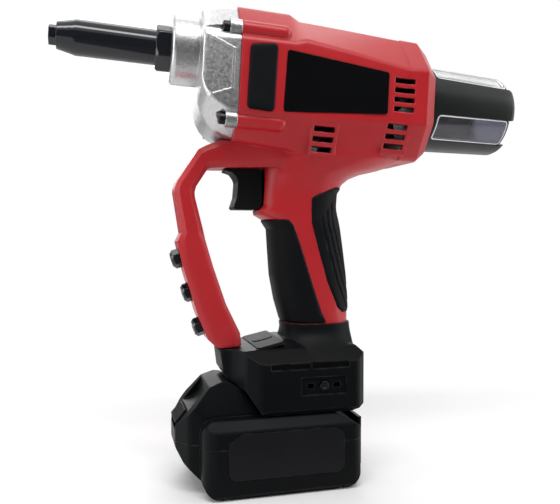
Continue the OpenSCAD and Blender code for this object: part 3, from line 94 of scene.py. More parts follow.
paper = bpy.data.materials.new("studio_paper")
paper.use_nodes = True
paper_tree = paper.node_tree
paper_tree.nodes.clear()
floor_spot = place(paper_tree, "ShaderNodeTexCoord").outputs["Object"]
floor_reach = place(paper_tree, "ShaderNodeVectorMath", {0: floor_spot}, operation="LENGTH").outputs["Value"]
fade = ranged(paper_tree, floor_reach, shadow_kept, shadow_gone, interpolation_type="SMOOTHSTEP")
lit = place(paper_tree, "ShaderNodeBsdfDiffuse", {"Color": paper_white})
far = place(paper_tree, "ShaderNodeEmission", {"Color": pure_white, "Strength": 1.0})
whitened = worked(paper_tree, "MULTIPLY", fade, seen_white(paper_tree))
topside = place(paper_tree, "ShaderNodeMixShader", {0: whitened, 1: lit.outputs[0], 2: far.outputs[0]})
below = place(paper_tree, "ShaderNodeNewGeometry").outputs["Backfacing"]
clear = place(paper_tree, "ShaderNodeBsdfTransparent")
both_sides = place(paper_tree, "ShaderNodeMixShader", {0: below, 1: topside.outputs[0], 2: clear.outputs[0]})
place(paper_tree, "ShaderNodeOutputMaterial", {"Surface": both_sides.outputs[0]})
floor_mesh = bpy.data.meshes.new("floor")
floor_bm = bmesh.new()
bmesh.ops.create_circle(floor_bm, cap_ends=True, segments=floor_sides, radius=floor_radius)
floor_bm.to_mesh(floor_mesh)
floor_bm.free()
floor = bpy.data.objects.new("floor", floor_mesh)
floor.location = (0, 0, -floor_drop)
floor.data.materials.append(paper)
scene.collection.objects.link(floor)

# Camera, lamps and flags.
# The camera stands at the left side, 15 degrees towards the nose and a little above the grip. Five soft
# lamps stand round the tool, and grey flags that only gloss can see give metal its dark middle tones.
look, camera_distance = Vector((0.0058, 0.0, 0.146)), 0.423
side, rise = math.radians(-15.0), math.radians(1.6)
back = Vector((math.sin(side) * math.cos(rise), -math.cos(side) * math.cos(rise), math.sin(rise)))
camera = bpy.data.objects.new("camera", bpy.data.cameras.new("camera"))
camera.data.lens = 41.4
camera.data.sensor_width = 36.0
camera.location = look + back * camera_distance
camera.rotation_euler = (-back).to_track_quat("-Z", "Y").to_euler()
scene.collection.objects.link(camera)
scene.camera = camera
tool_middle = Vector((0, 0, 0.17))


def lamp(name, at, size, power):
    """A soft rectangular lamp, turned to the middle of the tool."""
    light = bpy.data.lights.new(name, "AREA")
    light.shape = "RECTANGLE"
    light.size, light.size_y = size
    light.energy = power
    made = bpy.data.objects.new(name, light)
    made.location = at
    made.rotation_euler = (tool_middle - Vector(at)).to_track_quat("-Z", "Y").to_euler()
    scene.collection.objects.link(made)


lamp("lamp_over", at=(-0.10, -0.45, 0.95), size=(0.9, 0.2), power=5.6)
lamp("lamp_nose", at=(-0.95, 0.02, 0.40), size=(0.45, 0.8), power=3.2)
lamp("lamp_rear", at=(0.85, -0.30, 0.40), size=(0.35, 0.8), power=2.2)
lamp("lamp_far_side", at=(0.1, 0.95, 0.55), size=(0.9, 0.6), power=5.0)
lamp("lamp_top", at=(0.08, 0.40, 1.05), size=(0.8, 0.35), power=1.5)

flag_grey = (0.2, 0.2, 0.2, 1)
flag_far, flag_foot, flag_steps = 1.25, 0.001, 24
flag_material = bpy.data.materials.new("dark_flag")
flag_material.use_nodes = True
flag_shader = flag_material.node_tree.nodes["Principled BSDF"]
flag_shader.inputs["Base Color"].default_value = flag_grey
flag_shader.inputs["Roughness"].default_value = 1.0
flag_mesh = bpy.data.meshes.new("dark_flag")
flag_bm = bmesh.new()


def flag_strip(middle, rows):
    """A curved card around the tool: each row is (distance, height, half its sweep in degrees)."""
    made = []
    for distance, height, sweep in rows:
        row = []
        for i in range(flag_steps + 1):
            turn = middle + math.radians(sweep) * (2 * i / flag_steps - 1)
            row.append(flag_bm.verts.new((distance * math.sin(turn), -distance * math.cos(turn), height)))
        made.append(row)
    for low, high in zip(made, made[1:]):
        for i in range(flag_steps):
            flag_bm.faces.new((low[i], low[i + 1], high[i + 1], high[i]))


# One stands behind the camera, one lies on the floor before the tool and one stands behind the tool.
flag_strip(side, [(flag_far, flag_foot, 70), (flag_far, 1.0, 70)])
flag_strip(side + math.radians(25), [(0.09, flag_foot, 35), (0.3, flag_foot, 40), (flag_far, flag_foot, 45)])
flag_strip(side + math.pi, [(flag_far, flag_foot, 55), (flag_far, 0.45, 55)])
flag_bm.to_mesh(flag_mesh)
flag_bm.free()
flag = bpy.data.objects.new("dark_flag", flag_mesh)
flag.data.materials.append(flag_material)
flag.visible_camera = flag.visible_diffuse = flag.visible_transmission = flag.visible_shadow = False
scene.collection.objects.link(flag)

# Red body halves, with the grip and the guard in one moulding each.
# Satin glass-filled nylon with a fine spark-eroded grain, screwed together from the right side.


def new_group(name, inputs, outputs):
    """A shader node group with named float inputs, and outputs of the given socket types."""
    group = bpy.data.node_groups.new(name, "ShaderNodeTree")
    for socket, value in inputs:
        made = group.interface.new_socket(socket, in_out="INPUT", socket_type="NodeSocketFloat")
        made.default_value = value
    for socket, kind in outputs:
        group.interface.new_socket(socket, in_out="OUTPUT", socket_type=kind)
    start = group.nodes.new("NodeGroupInput")
    end = group.nodes.new("NodeGroupOutput")
    return group, start.outputs, end.inputs


# Grain of a moulded or cast skin: fine bumps, and slow clouds that shift tone and gloss.
grain_group, grain_in, grain_out = new_group(
    "skin_grain",
    [("Bumps", 2600.0), ("Clouds", 22.0)],
    [("Height", "NodeSocketFloat"), ("Cloud", "NodeSocketFloat")],
)
grain_spot = place(grain_group, "ShaderNodeTexCoord").outputs["Object"]
fine_bumps = place(
    grain_group, "ShaderNodeTexNoise",
    {"Vector": grain_spot, "Scale": grain_in["Bumps"], "Detail": 2.0, "Roughness": 0.6},
)
slow_clouds = place(
    grain_group, "ShaderNodeTexNoise",
    {"Vector": grain_spot, "Scale": grain_in["Clouds"], "Detail": 4.0, "Roughness": 0.55},
)
grain_group.links.new(fine_bumps.outputs["Fac"], grain_out["Height"])
grain_group.links.new(slow_clouds.outputs["Fac"], grain_out["Cloud"])

# Rounded edges: the normal of a small radius on every edge, a mask of the edges where a hand or a
# bench has rubbed the skin, which also lightens them as a painted edge highlight, and a mask of
# painted shade that is dark in deep openings such as the vents.
edge_group, edge_in, edge_out = new_group(
    "edge_wear_highlight_and_hollow_shade",
    [("Radius", 0.0006), ("Patches", 160.0)],
    [("Normal", "NodeSocketVector"), ("Edge", "NodeSocketFloat"), ("Unshaded", "NodeSocketFloat")],
)
flat_match, edge_match = 0.995, 0.9
patch_none, patch_full = 0.42, 0.62
# Reach and levels of the painted shade that darkens deep hollows.
hollow_shade_reach, hollow_shade_full, hollow_shade_none = 0.05, 0.08, 0.5
rounded_normal = place(edge_group, "ShaderNodeBevel", {"Radius": edge_in["Radius"]}, samples=6).outputs[0]
face_normal = place(edge_group, "ShaderNodeNewGeometry").outputs["Normal"]
normal_match = place(
    edge_group, "ShaderNodeVectorMath", {0: rounded_normal, 1: face_normal}, operation="DOT_PRODUCT"
).outputs["Value"]
on_edge = ranged(edge_group, normal_match, flat_match, edge_match)
edge_spot = place(edge_group, "ShaderNodeTexCoord").outputs["Object"]
patches = place(
    edge_group, "ShaderNodeTexNoise", {"Vector": edge_spot, "Scale": edge_in["Patches"], "Detail": 3.0}
).outputs["Fac"]
in_patch = ranged(edge_group, patches, patch_none, patch_full)
hollow_shade_ao = place(
    edge_group, "ShaderNodeAmbientOcclusion", {"Distance": hollow_shade_reach}, samples=4
).outputs["AO"]
edge_group.links.new(rounded_normal, edge_out["Normal"])
edge_group.links.new(worked(edge_group, "MULTIPLY", on_edge, in_patch), edge_out["Edge"])
edge_group.links.new(ranged(edge_group, hollow_shade_ao, hollow_shade_full, hollow_shade_none), edge_out["Unshaded"])

cloud_low, cloud_high = 0.3, 0.7
# Colour of the painted shade in deep hollows.
hollow_shade_black = (0.002, 0.002, 0.002, 1)


def blended(tree, share, first, second):
    """A colour between two by a share: a Mix node has its colours at sockets 6 and 7, and out at 2."""
    return place(tree, "ShaderNodeMix", {"Factor": share, 6: first, 7: second}, data_type="RGBA").outputs[2]


def finish(name, dark, light, worn_and_highlit_edge, rough, bumps, depth, radius=0.0006, clouds=22.0, **sockets):
    """A skin: tone and gloss drift between two values, edges are rounded and rubbed, and grain
    stands up as bump. Edges are lighter, partly as a painted edge highlight, and deep hollows are
    darkened with painted shade. Sockets set plain values on the shader, with _ in place of each space."""
    material = bpy.data.materials.new(name)
    material.use_nodes = True
    tree = material.node_tree
    shader = tree.nodes["Principled BSDF"]
    grain = place(tree, "ShaderNodeGroup", {"Bumps": bumps, "Clouds": clouds}, node_tree=grain_group).outputs
    edges = place(tree, "ShaderNodeGroup", {"Radius": radius}, node_tree=edge_group).outputs
    tone = blended(tree, grain["Cloud"], (*dark, 1), (*light, 1))
    # Lighter edges: partly rubbed wear, partly a painted edge highlight.
    skin = blended(tree, edges["Edge"], tone, (*worn_and_highlit_edge, 1))
    gloss = ranged(tree, grain["Cloud"], cloud_low, cloud_high, *rough)
    bump = place(
        tree, "ShaderNodeBump",
        {"Height": grain["Height"], "Normal": edges["Normal"], "Strength": 1.0, "Distance": depth},
    )
    # Deep hollows are darkened with painted shade, from ambient occlusion.
    skin_with_painted_shade = blended(tree, edges["Unshaded"], hollow_shade_black, skin)
    tree.links.new(skin_with_painted_shade, shader.inputs["Base Color"])
    tree.links.new(gloss, shader.inputs["Roughness"])
    tree.links.new(bump.outputs[0], shader.inputs["Normal"])
    for socket, value in sockets.items():
        shader.inputs[socket.replace("_", " ")].default_value = value
    return material


# Smooth shading across the small facets of a curved wall, with true edges kept crisp.
weld_distance, crisp_angle, flat_face_weight = 0.000004, math.radians(33), 80
shade_group = bpy.data.node_groups.new("smooth_walls", "GeometryNodeTree")
shade_group.interface.new_socket("Geometry", in_out="INPUT", socket_type="NodeSocketGeometry")
shade_group.interface.new_socket("Geometry", in_out="OUTPUT", socket_type="NodeSocketGeometry")
walls_in = shade_group.nodes.new("NodeGroupInput")
walls_out = shade_group.nodes.new("NodeGroupOutput")
bare_walls = place(
    shade_group, "GeometryNodeRemoveAttribute", {"Geometry": walls_in.outputs[0], "Name": "custom_normal"}
)
welded_walls = place(
    shade_group, "GeometryNodeMergeByDistance", {"Geometry": bare_walls.outputs[0], "Distance": weld_distance}
)
smooth_faces = place(
    shade_group, "GeometryNodeSetShadeSmooth",
    {"Geometry": welded_walls.outputs[0], "Shade Smooth": True}, domain="FACE",
)
edge_angle = place(shade_group, "GeometryNodeInputMeshEdgeAngle").outputs["Unsigned Angle"]
soft_edge = place(
    shade_group, "FunctionNodeCompare",
    {0: edge_angle, 1: crisp_angle}, data_type="FLOAT", operation="LESS_THAN",
)
smooth_edges = place(
    shade_group, "GeometryNodeSetShadeSmooth",
    {"Geometry": smooth_faces.outputs[0], "Shade Smooth": soft_edge.outputs[0]}, domain="EDGE",
)
shade_group.links.new(smooth_edges.outputs[0], walls_out.inputs[0])


def dress(material, *names):
    """Gives solids their finish and smooth shading."""
    for name in names:
        solid = nodes[name]
        solid.data.materials.clear()
        solid.data.materials.append(material)
        solid.modifiers.new("smooth_walls", "NODES").node_group = shade_group
        weighted = solid.modifiers.new("flat_faces_first", "WEIGHTED_NORMAL")
        weighted.keep_sharp = True
        weighted.weight = flat_face_weight


red_nylon = finish(
    "red_nylon", dark=(0.385, 0.004, 0.009), light=(0.465, 0.007, 0.013), worn_and_highlit_edge=(0.52, 0.045, 0.055),
    rough=(0.30, 0.40), bumps=3200.0, depth=0.00004, radius=0.0012, Specular_IOR_Level=0.52,
)
dress(red_nylon, "housing_left", "housing_right")

# Screws of the halves, the metal front, the base and the battery, and one in the hook seat on the left.
# Steel under black oxide: cap screws with a hexagon socket, and a cross-head screw in the hook seat.
# They run into bosses behind their seats.
oxide_screw = finish(
    "oxide_screw", dark=(0.03, 0.03, 0.032), light=(0.05, 0.05, 0.053), worn_and_highlit_edge=(0.2, 0.2, 0.2),
    rough=(0.28, 0.42), bumps=5000.0, depth=0.00001, radius=0.0002, Metallic=1.0,
)
screw_sides = 48
cross_reach, cross_half_width = 1.5, 0.2


def bridge(bm, lower, upper):
    """Joins two closed rings of points with a belt of faces."""
    count = len(lower)
    for i in range(count):
        j = (i + 1) % count
        bm.faces.new((lower[i], lower[j], upper[j], upper[i]))


def make_piece(name, bm, material):
    """Turns a finished mesh into a piece of one material, with smooth walls."""
    bmesh.ops.recalc_face_normals(bm, faces=bm.faces)
    mesh = bpy.data.meshes.new(name)
    bm.to_mesh(mesh)
    bm.free()
    made = bpy.data.objects.new(name, mesh)
    scene.collection.objects.link(made)
    made.data.materials.append(material)
    made.modifiers.new("smooth_walls", "NODES").node_group = shade_group
    return made


def screw(name, spots, axis, head, shank, arms, body, stands_for):
    """One object of like screws: each spot is the middle of the seat, axis points out of the head.
    head and shank are (radius, length); arms is 6 for a hexagon socket and 4 for a cross."""
    turn = Vector(axis).normalized().to_track_quat("Z", "Y").to_matrix()
    bm = bmesh.new()
    r, h = head

    def socket(angle, size):
        """Distance from the axis to the wall of a socket of that size, at an angle."""
        if arms == 6:
            sixth = math.pi / 3
            return size / max(math.cos(angle % sixth - sixth / 2), 0.5)
        quarter = math.pi / 2
        near = min(angle % quarter, quarter - angle % quarter)
        tip = size * cross_reach
        return min(tip, cross_half_width * r / max(math.sin(near), 0.12)) if near > 0.01 else tip

    # From the floor of the socket over the rounded head to the tip of the shank: (radius, height).
    rings = [
        (lambda a: socket(a, 0.32 * r), h * 0.45),
        (lambda a: socket(a, 0.36 * r), h * 0.96),
        (lambda a: 0.62 * r, h),
        (lambda a: 0.86 * r, h * 0.97),
        (lambda a: 0.97 * r, h * 0.86),
        (lambda a: r, h * 0.66),
        (lambda a: r, 0.0),
        (lambda a: shank[0], 0.0),
        (lambda a: shank[0], -0.9 * shank[1]),
        (lambda a: 0.7 * shank[0], -shank[1]),
    ]
    for spot in spots:
        made = []
        for radius, height in rings:
            ring = []
            for i in range(screw_sides):
                a = 2 * math.pi * i / screw_sides
                local = Vector((radius(a) * math.cos(a), radius(a) * math.sin(a), height))
                ring.append(bm.verts.new(Vector(spot) + turn @ local))
            made.append(ring)
        for lower, upper in zip(made, made[1:]):
            bridge(bm, lower, upper)
        bm.faces.new(made[0])
        bm.faces.new(list(reversed(made[-1])))
    screws = make_piece(name, bm, oxide_screw)
    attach(screws, body)
    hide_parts(stands_for)


# Sizes in millimetres: the joint plane and the barrel axis, then body, grip, guard and base.
joint_x, axis_z, lean = -27.0, 270.7, math.radians(3.0)
body_length, body_width, body_height = 128.0, 76.0, 82.5
grip_x, grip_depth, grip_foot, grip_height = 24.0, 47.0, 97.0, 109.0
guard_depth, guard_height = 37.0, 173.7
base_x, base_length, base_foot, base_height = -36.381, 90.5, 47.0, 50.0


def on_barrel(u, y, w):
    """A point in metres from the barrel's frame in millimetres: u behind the joint plane, y across,
    w up from the barrel axis."""
    x = joint_x + u * math.cos(lean) + w * math.sin(lean)
    return Vector((x, y, axis_z - u * math.sin(lean) + w * math.cos(lean))) / 1000


# Seats as shares of what they are in, and how far each stands from the middle plane.
seat_y, guard_seat_y = 9.0, 5.0
body_seats = ((0.356, 0.19), (0.86, 0.13), (0.9, -0.66))
grip_seats = ((-0.45, 1.0), (0.2, 0.9), (-0.06, 0.45), (0.2, 0.13))
guard_seats = ((-0.6, 0.575), (-0.6, 0.3))
base_seats = ((0.93, 0.5), (0.3, 0.46), (0.68, 0.78))
case_head, case_shank = (0.0028, 0.0024), (0.0015, 0.0156)
half_spots = [on_barrel(s * body_length, seat_y, t * body_height) for s, t in body_seats]
half_spots += [
    Vector((grip_x + s * grip_depth, seat_y, grip_foot + t * grip_height)) / 1000
    for s, t in grip_seats
]
half_spots += [
    Vector((joint_x + s * guard_depth, guard_seat_y, grip_foot + t * guard_height)) / 1000
    for s, t in guard_seats
]
screw("half_screws", half_spots, (0, 1, 0), case_head, case_shank, 6, "tool", "housing_screws")

front_seat_u = -7.0
front_seats = ((0.428, 0.1), (0.41, -0.548))
front_axis = on_barrel(-1, 0, 0) - on_barrel(0, 0, 0)
front_spots = [
    on_barrel(front_seat_u, hand * s * body_width, t * body_height)
    for s, t in front_seats for hand in (-1, 1)
]
screw(
    "front_screws", front_spots, front_axis, (0.0035, 0.004), (0.002, 0.026), 6,
    "tool", "gear_housing_screws",
)
base_spots = [
    Vector((base_x + s * base_length, seat_y, base_foot + t * base_height)) / 1000
    for s, t in base_seats
]
screw("base_screw_set", base_spots, (0, 1, 0), case_head, case_shank, 6, "tool", "base_screws")
screw(
    "hook_seat_screw", [(0.025159, -0.0328, 0.06425)], (0, -1, 0), (0.0028, 0.0018), (0.002, 0.0077), 4,
    "tool", "hook_screw",
)
pack_seat_x, pack_seat_y, pack_seat_z = 0.036, 0.0354, 0.004
pack_spots = [(end * pack_seat_x, hand * pack_seat_y, pack_seat_z) for end in (-1, 1) for hand in (-1, 1)]
screw(
    "pack_screws", pack_spots, (0, 0, -1), (0.0017, 0.002), (0.0011, 0.0328), 6,
    "battery", "battery_screws",
)

# Cast front of the gear case, its inner cover and the reduction behind it.
# Die-cast aluminium, tumbled bright, with a coarse skin and darker low spots. Four long screws
# hold the front on the halves.
cast_aluminium = finish(
    "cast_aluminium", dark=(0.34, 0.34, 0.355), light=(0.78, 0.78, 0.785), worn_and_highlit_edge=(0.72, 0.72, 0.72),
    rough=(0.28, 0.44), bumps=900.0, depth=0.00009, radius=0.0008, clouds=700.0, Metallic=1.0,
)
dress(cast_aluminium, "gear_housing", "gear_cover", "gearbox")

# Barrel, lock nut and nosepieces, screwed into the front, and the spares in the guard.
# Turned steel with an oiled black oxide, smooth enough to carry long white highlights.
black_oxide = finish(
    "black_oxide", dark=(0.004, 0.005, 0.008), light=(0.007, 0.008, 0.012), worn_and_highlit_edge=(0.06, 0.06, 0.065),
    rough=(0.07, 0.11), bumps=1500.0, depth=0.000004, radius=0.0005, Specular_IOR_Level=0.5,
)
dress(black_oxide, "nose_housing", "nose_lock_nut", "nosepiece", "spare_nosepieces")

# Drive and pulling unit inside the body.
# Ground steel shafts, gears, jaws and bearing rings, held between the halves and the front.
ground_steel = finish(
    "ground_steel", dark=(0.50, 0.50, 0.51), light=(0.62, 0.62, 0.63), worn_and_highlit_edge=(0.75, 0.75, 0.75),
    rough=(0.18, 0.30), bumps=4000.0, depth=0.00001, radius=0.0003, Metallic=1.0,
)
dress(
    ground_steel, "motor_rotor", "drive_pinion", "screw_nut", "nut_gear", "nut_front_bearing",
    "nut_rear_bearing", "pulling_screw", "jaw_case", "jaws", "jaw_pusher", "jaw_spring", "mandrel_tube",
)

# Motor can.
# Deep-drawn steel under a black electro-coat, held between the halves.
coated_can = finish(
    "coated_can", dark=(0.006, 0.006, 0.0065), light=(0.01, 0.01, 0.011), worn_and_highlit_edge=(0.03, 0.03, 0.03),
    rough=(0.45, 0.55), bumps=3000.0, depth=0.00002, radius=0.0004, Specular_IOR_Level=0.2,
)
dress(coated_can, "motor_can")

# Soft side pads on the body.
# Moulded rubber blocks with rounded rims and a slightly hollow face, pressed into seats on both flanks.
corner_steps, face_rings = 6, 6


def rounded(points, radius, inset=0.0):
    """A convex outline, anticlockwise, with its corners rounded and drawn in by an inset."""
    line = []
    for i, p in enumerate(points):
        p, a, b = Vector(p), Vector(points[i - 1]), Vector(points[(i + 1) % len(points)])
        u, v = (a - p).normalized(), (b - p).normalized()
        half = math.acos(max(-1.0, min(1.0, u.dot(v)))) / 2
        centre = p + (u + v).normalized() * radius / math.sin(half)
        start, stop = p + u * radius / math.tan(half) - centre, p + v * radius / math.tan(half) - centre
        first = math.atan2(start.y, start.x)
        sweep = (math.atan2(stop.y, stop.x) - first + math.pi) % (2 * math.pi) - math.pi
        for k in range(corner_steps + 1):
            turn = first + sweep * k / corner_steps
            line.append(centre + Vector((math.cos(turn), math.sin(turn))) * (radius - inset))
    return line


def slab(name, points, radius, layers, middle, to_world, material):
    """A pad of a rounded outline: layers are (inset, height) from the seat to the face, middle is the
    height of the face's centre, and to_world puts a flat point and a height into place."""
    heart = sum((Vector(p) for p in points), Vector((0, 0))) / len(points)
    bm = bmesh.new()
    rings = []
    for inset, height in layers:
        rings.append([bm.verts.new(to_world(p.x, p.y, height)) for p in rounded(points, radius, inset)])
    face_inset, face_height = layers[-1]
    for k in range(1, face_rings):
        share = k / face_rings
        height = face_height + (middle - face_height) * math.sin(share * math.pi / 2)
        inner = [p.lerp(heart, share) for p in rounded(points, radius, face_inset)]
        rings.append([bm.verts.new(to_world(p.x, p.y, height)) for p in inner])
    for lower, upper in zip(rings, rings[1:]):
        bridge(bm, lower, upper)
    bm.faces.new(list(reversed(rings[0])))
    bm.faces.new(rings[-1])
    return make_piece(name, bm, material)


soft_rubber = finish(
    "soft_rubber", dark=(0.0025, 0.003, 0.004), light=(0.0045, 0.005, 0.0062), worn_and_highlit_edge=(0.014, 0.014, 0.016),
    rough=(0.46, 0.58), bumps=2200.0, depth=0.00003, radius=0.0004, Specular_IOR_Level=0.11,
)
pad_layers = [(0.0, -1.5), (0.0, 0.4), (0.12, 0.95), (0.45, 1.4), (0.95, 1.68), (1.5, 1.78)]
pad_corners = [(0.037, -0.473), (0.165, -0.481), (0.169, 0.008), (0.041, -0.02)]
pad_corner_radius, pad_middle, flank_y = 2.5, 1.35, 38.0
pad_outline = [(u * body_length, w * body_height) for u, w in pad_corners]
for hand, label in ((-1, "left"), (1, "right")):
    side_pad = slab(
        "side_pad_" + label, pad_outline, pad_corner_radius, pad_layers, pad_middle,
        lambda u, w, h, hand=hand: on_barrel(u, hand * (flank_y + h), w), soft_rubber,
    )
    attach(side_pad, "tool")
    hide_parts("side_bumper_" + label)

# Soft pads of the grip, a front and a rear pair.
# Rubber moulded over the nylon: proud of it with a rolled rim, grooved along the back for the palm.
grip_width, grip_roundness = 39.0, 2.5
# Each row of the grip: level, front edge, rear edge and half width, as shares of height, depth and width.
grip_rows = [
    (0, -0.334, 0.566, 0.46), (0.06, -0.38, 0.564, 0.47), (0.165, -0.451, 0.56, 0.48),
    (0.312, -0.515, 0.532, 0.49), (0.486, -0.543, 0.479, 0.49), (0.587, -0.557, 0.443, 0.5),
    (0.642, -0.643, 0.419, 0.5), (0.67, -0.755, 0.404, 0.5), (0.697, -0.766, 0.391, 0.505),
    (0.725, -0.702, 0.383, 0.51), (0.798, -0.691, 0.394, 0.53), (0.853, -0.681, 0.479, 0.57),
]
pad_rows, pad_columns = 110, 44
pad_proud, pad_depth, border_radius, border_gap = 0.8, 1.2, 3.0, 0.05
rim_width, rim_sink = 1.6, 0.25
groove_half, groove_depth, groove_run_in, groove_line_top = 0.7, 0.7, 0.02, 0.74


def grip_size(level):
    """Front edge, rear edge and half width of the grip at a share of its height, in millimetres."""
    for low, high in zip(grip_rows, grip_rows[1:]):
        if level <= high[0]:
            s = (level - low[0]) / (high[0] - low[0])
            front, rear, half = (low[i] + (high[i] - low[i]) * s for i in (1, 2, 3))
            return grip_x + front * grip_depth, grip_x + rear * grip_depth, half * grip_width
    raise ValueError("above the grip")


def grip_point(level, angle, inset):
    """A point on the grip's skin, or under it by an inset, in millimetres."""
    front, rear, half = grip_size(level)
    c, s = math.cos(angle), math.sin(angle)
    bulge = 2 / grip_roundness
    x = (front + rear) / 2 + ((rear - front) / 2 - inset) * math.copysign(abs(c) ** bulge, c)
    y = (half - inset) * math.copysign(abs(s) ** bulge, s)
    return x, y, grip_foot + level * grip_height


def round_line(points, radius, steps=5, most=0.45):
    """An open line of (share, share) points as millimetres on the grip, with its inner corners rounded,
    which takes up at most a share of each stretch."""
    spots = [Vector((grip_x + x * grip_depth, grip_foot + z * grip_height)) for x, z in points]
    line = [spots[0]]
    for a, p, b in zip(spots, spots[1:], spots[2:]):
        u, v = (a - p).normalized(), (b - p).normalized()
        half = math.acos(max(-1.0, min(1.0, u.dot(v)))) / 2
        longest = most * min((a - p).length, (b - p).length)
        cut = min(radius / math.tan(half), longest) if half > 0.01 else 0
        for k in range(steps + 1):
            s = k / steps
            line.append((p + u * cut) * (1 - s) ** 2 + p * 2 * s * (1 - s) + (p + v * cut) * s ** 2)
    return line + [spots[-1]]


def off_line(x, z, line):
    """How far a point is from the nearest part of a border line."""
    spot = Vector((x, z))
    best = 1e9
    for a, b in zip(line, line[1:]):
        d = b - a
        s = max(0.0, min(1.0, (spot - a).dot(d) / max(d.length_squared, 1e-9)))
        best = min(best, (a + d * s - spot).length)
    return best


def crossing(level, line, lowest):
    """Where a border line crosses a level: its lowest or highest x there."""
    z = grip_foot + level * grip_height
    found = []
    for a, b in zip(line, line[1:]):
        if min(a.y, b.y) <= z <= max(a.y, b.y) and a.y != b.y:
            found.append(a.x + (b.x - a.x) * (z - a.y) / (b.y - a.y))
    return (min(found) if lowest else max(found)) if found else None


def grip_pad(name, border, low, high, rear, grooves, hand, stands_for):
    """A pad between its border line and the middle of the grip's front or back."""
    line = round_line(border, border_radius)
    bm = bmesh.new()
    centre = 0.0 if rear else math.pi

    def pad_inset(level, x, z, groove_x):
        """How deep the pad's face lies: rolled up from its border, and down again in the grooves."""
        d = min(off_line(x, z, line), rim_width) / rim_width
        inset = rim_sink - (pad_proud + rim_sink) * math.sqrt(max(0.0, 1 - (1 - d) ** 2))
        for away, head in grooves:
            near = abs(x - groove_x - away) / groove_half
            along = min(1.0, max(0.0, (head - level) / groove_run_in))
            inset += groove_depth * max(0.0, 1 - near ** 2) * along
        return inset

    outer, inner = [], []
    for grid in (outer, inner):
        for i in range(pad_rows + 1):
            level = low + (high - low) * i / pad_rows
            front_x, rear_x, _ = grip_size(level)
            middle, reach = (front_x + rear_x) / 2, (rear_x - front_x) / 2
            x = crossing(level, line, rear)
            x = max(front_x + border_gap, min(rear_x - border_gap, x if x is not None else middle))
            groove_x = crossing(min(level, groove_line_top), line, True)
            share = max(-1.0, min(1.0, (x - middle) / reach))
            edge = math.acos(math.copysign(abs(share) ** (grip_roundness / 2), share))
            row = []
            for j in range(pad_columns + 1):
                angle = edge + (centre - edge) * (j / pad_columns)
                px, py, pz = grip_point(level, angle, 0.0)
                inset = pad_inset(level, px, pz, groove_x) if grid is outer else pad_depth
                px, py, pz = grip_point(level, angle, inset)
                row.append(bm.verts.new(Vector((px, hand * abs(py), pz)) / 1000))
            grid.append(row)
    for grid in (outer, inner):
        for a, b in zip(grid, grid[1:]):
            for j in range(pad_columns):
                bm.faces.new((a[j], a[j + 1], b[j + 1], b[j]))
    rim = [(i, 0) for i in range(pad_rows + 1)] + [(pad_rows, j) for j in range(1, pad_columns + 1)]
    rim += [(i, pad_columns) for i in range(pad_rows - 1, -1, -1)]
    rim += [(0, j) for j in range(pad_columns - 1, 0, -1)]
    for (i, j), (k, m) in zip(rim, rim[1:] + rim[:1]):
        bm.faces.new((outer[i][j], inner[i][j], inner[k][m], outer[k][m]))
    pad = make_piece(name, bm, soft_rubber)
    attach(pad, "tool")
    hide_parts(stands_for)


# Borders of the pads, as shares of the grip's depth and height.
front_border = [
    (-0.95, 0.64), (-0.372, 0.642), (-0.304, 0.609), (-0.206, 0.494), (-0.036, 0.261), (0.106, 0.085),
    (0.191, 0.034), (-0.95, 0.034),
]
rear_border = [
    (0.766, 0.845), (0.3, 0.832), (-0.062, 0.772), (-0.053, 0.624), (0.047, 0.464), (0.177, 0.276),
    (0.334, 0.124), (0.42, 0.092), (0.766, 0.092),
]
front_low, front_high, rear_low, rear_high = 0.0355, 0.6395, 0.0935, 0.835
# Grooves for the palm: how far each runs behind the border, and the level where it starts.
palm_grooves = [(6.8, 0.672), (10.8, 0.712), (14.4, 0.752)]
for hand, label in ((-1, "left"), (1, "right")):
    grip_pad(
        "front_pad_" + label, front_border, front_low, front_high, False, (), hand, "grip_front_" + label
    )
    grip_pad(
        "rear_pad_" + label, rear_border, rear_low, rear_high, True, palm_grooves, hand, "grip_rear_" + label
    )

# Bare plates on the left flank and on the battery.
# Smooth black plastic plates, the one on the flank glossier, bonded into shallow seats.
plate_black = finish(
    "plate_black", dark=(0.002, 0.0022, 0.0026), light=(0.0035, 0.0037, 0.0042), worn_and_highlit_edge=(0.02, 0.02, 0.02),
    rough=(0.16, 0.24), bumps=5200.0, depth=0.000008, radius=0.0004, Specular_IOR_Level=0.1,
)
pack_plate = finish(
    "pack_plate", dark=(0.006, 0.006, 0.0075), light=(0.009, 0.0087, 0.0105), worn_and_highlit_edge=(0.03, 0.03, 0.03),
    rough=(0.34, 0.46), bumps=5200.0, depth=0.00001, radius=0.0004, Specular_IOR_Level=0.14,
)
dress(plate_black, "name_plate")
dress(pack_plate, "battery_plate")

# Base, trigger, battery cases and the other black mouldings.
# Injection-moulded glass-filled nylon with a fine matt grain, screwed or slid together. Edges go
# slightly grey, partly where they are handled and partly as a painted edge highlight.
black_nylon = finish(
    "black_nylon", dark=(0.0022, 0.0028, 0.0034), light=(0.0042, 0.0049, 0.0056), worn_and_highlit_edge=(0.032, 0.034, 0.036),
    rough=(0.38, 0.50), bumps=3000.0, depth=0.000025, radius=0.0010, Specular_IOR_Level=0.09,
)
dress(
    black_nylon, "base_left", "base_right", "trigger_switch", "motor_fan", "battery_lower_case",
    "battery_upper_case", "battery_button", "cell_holders", "terminal_block", "collector_seal",
)
trigger_black = finish(
    "trigger_black", dark=(0.004, 0.0045, 0.005), light=(0.007, 0.0075, 0.0082), worn_and_highlit_edge=(0.02, 0.02, 0.021),
    rough=(0.52, 0.64), bumps=3000.0, depth=0.00005, radius=0.0010, Specular_IOR_Level=0.08,
)
dress(trigger_black, "trigger")

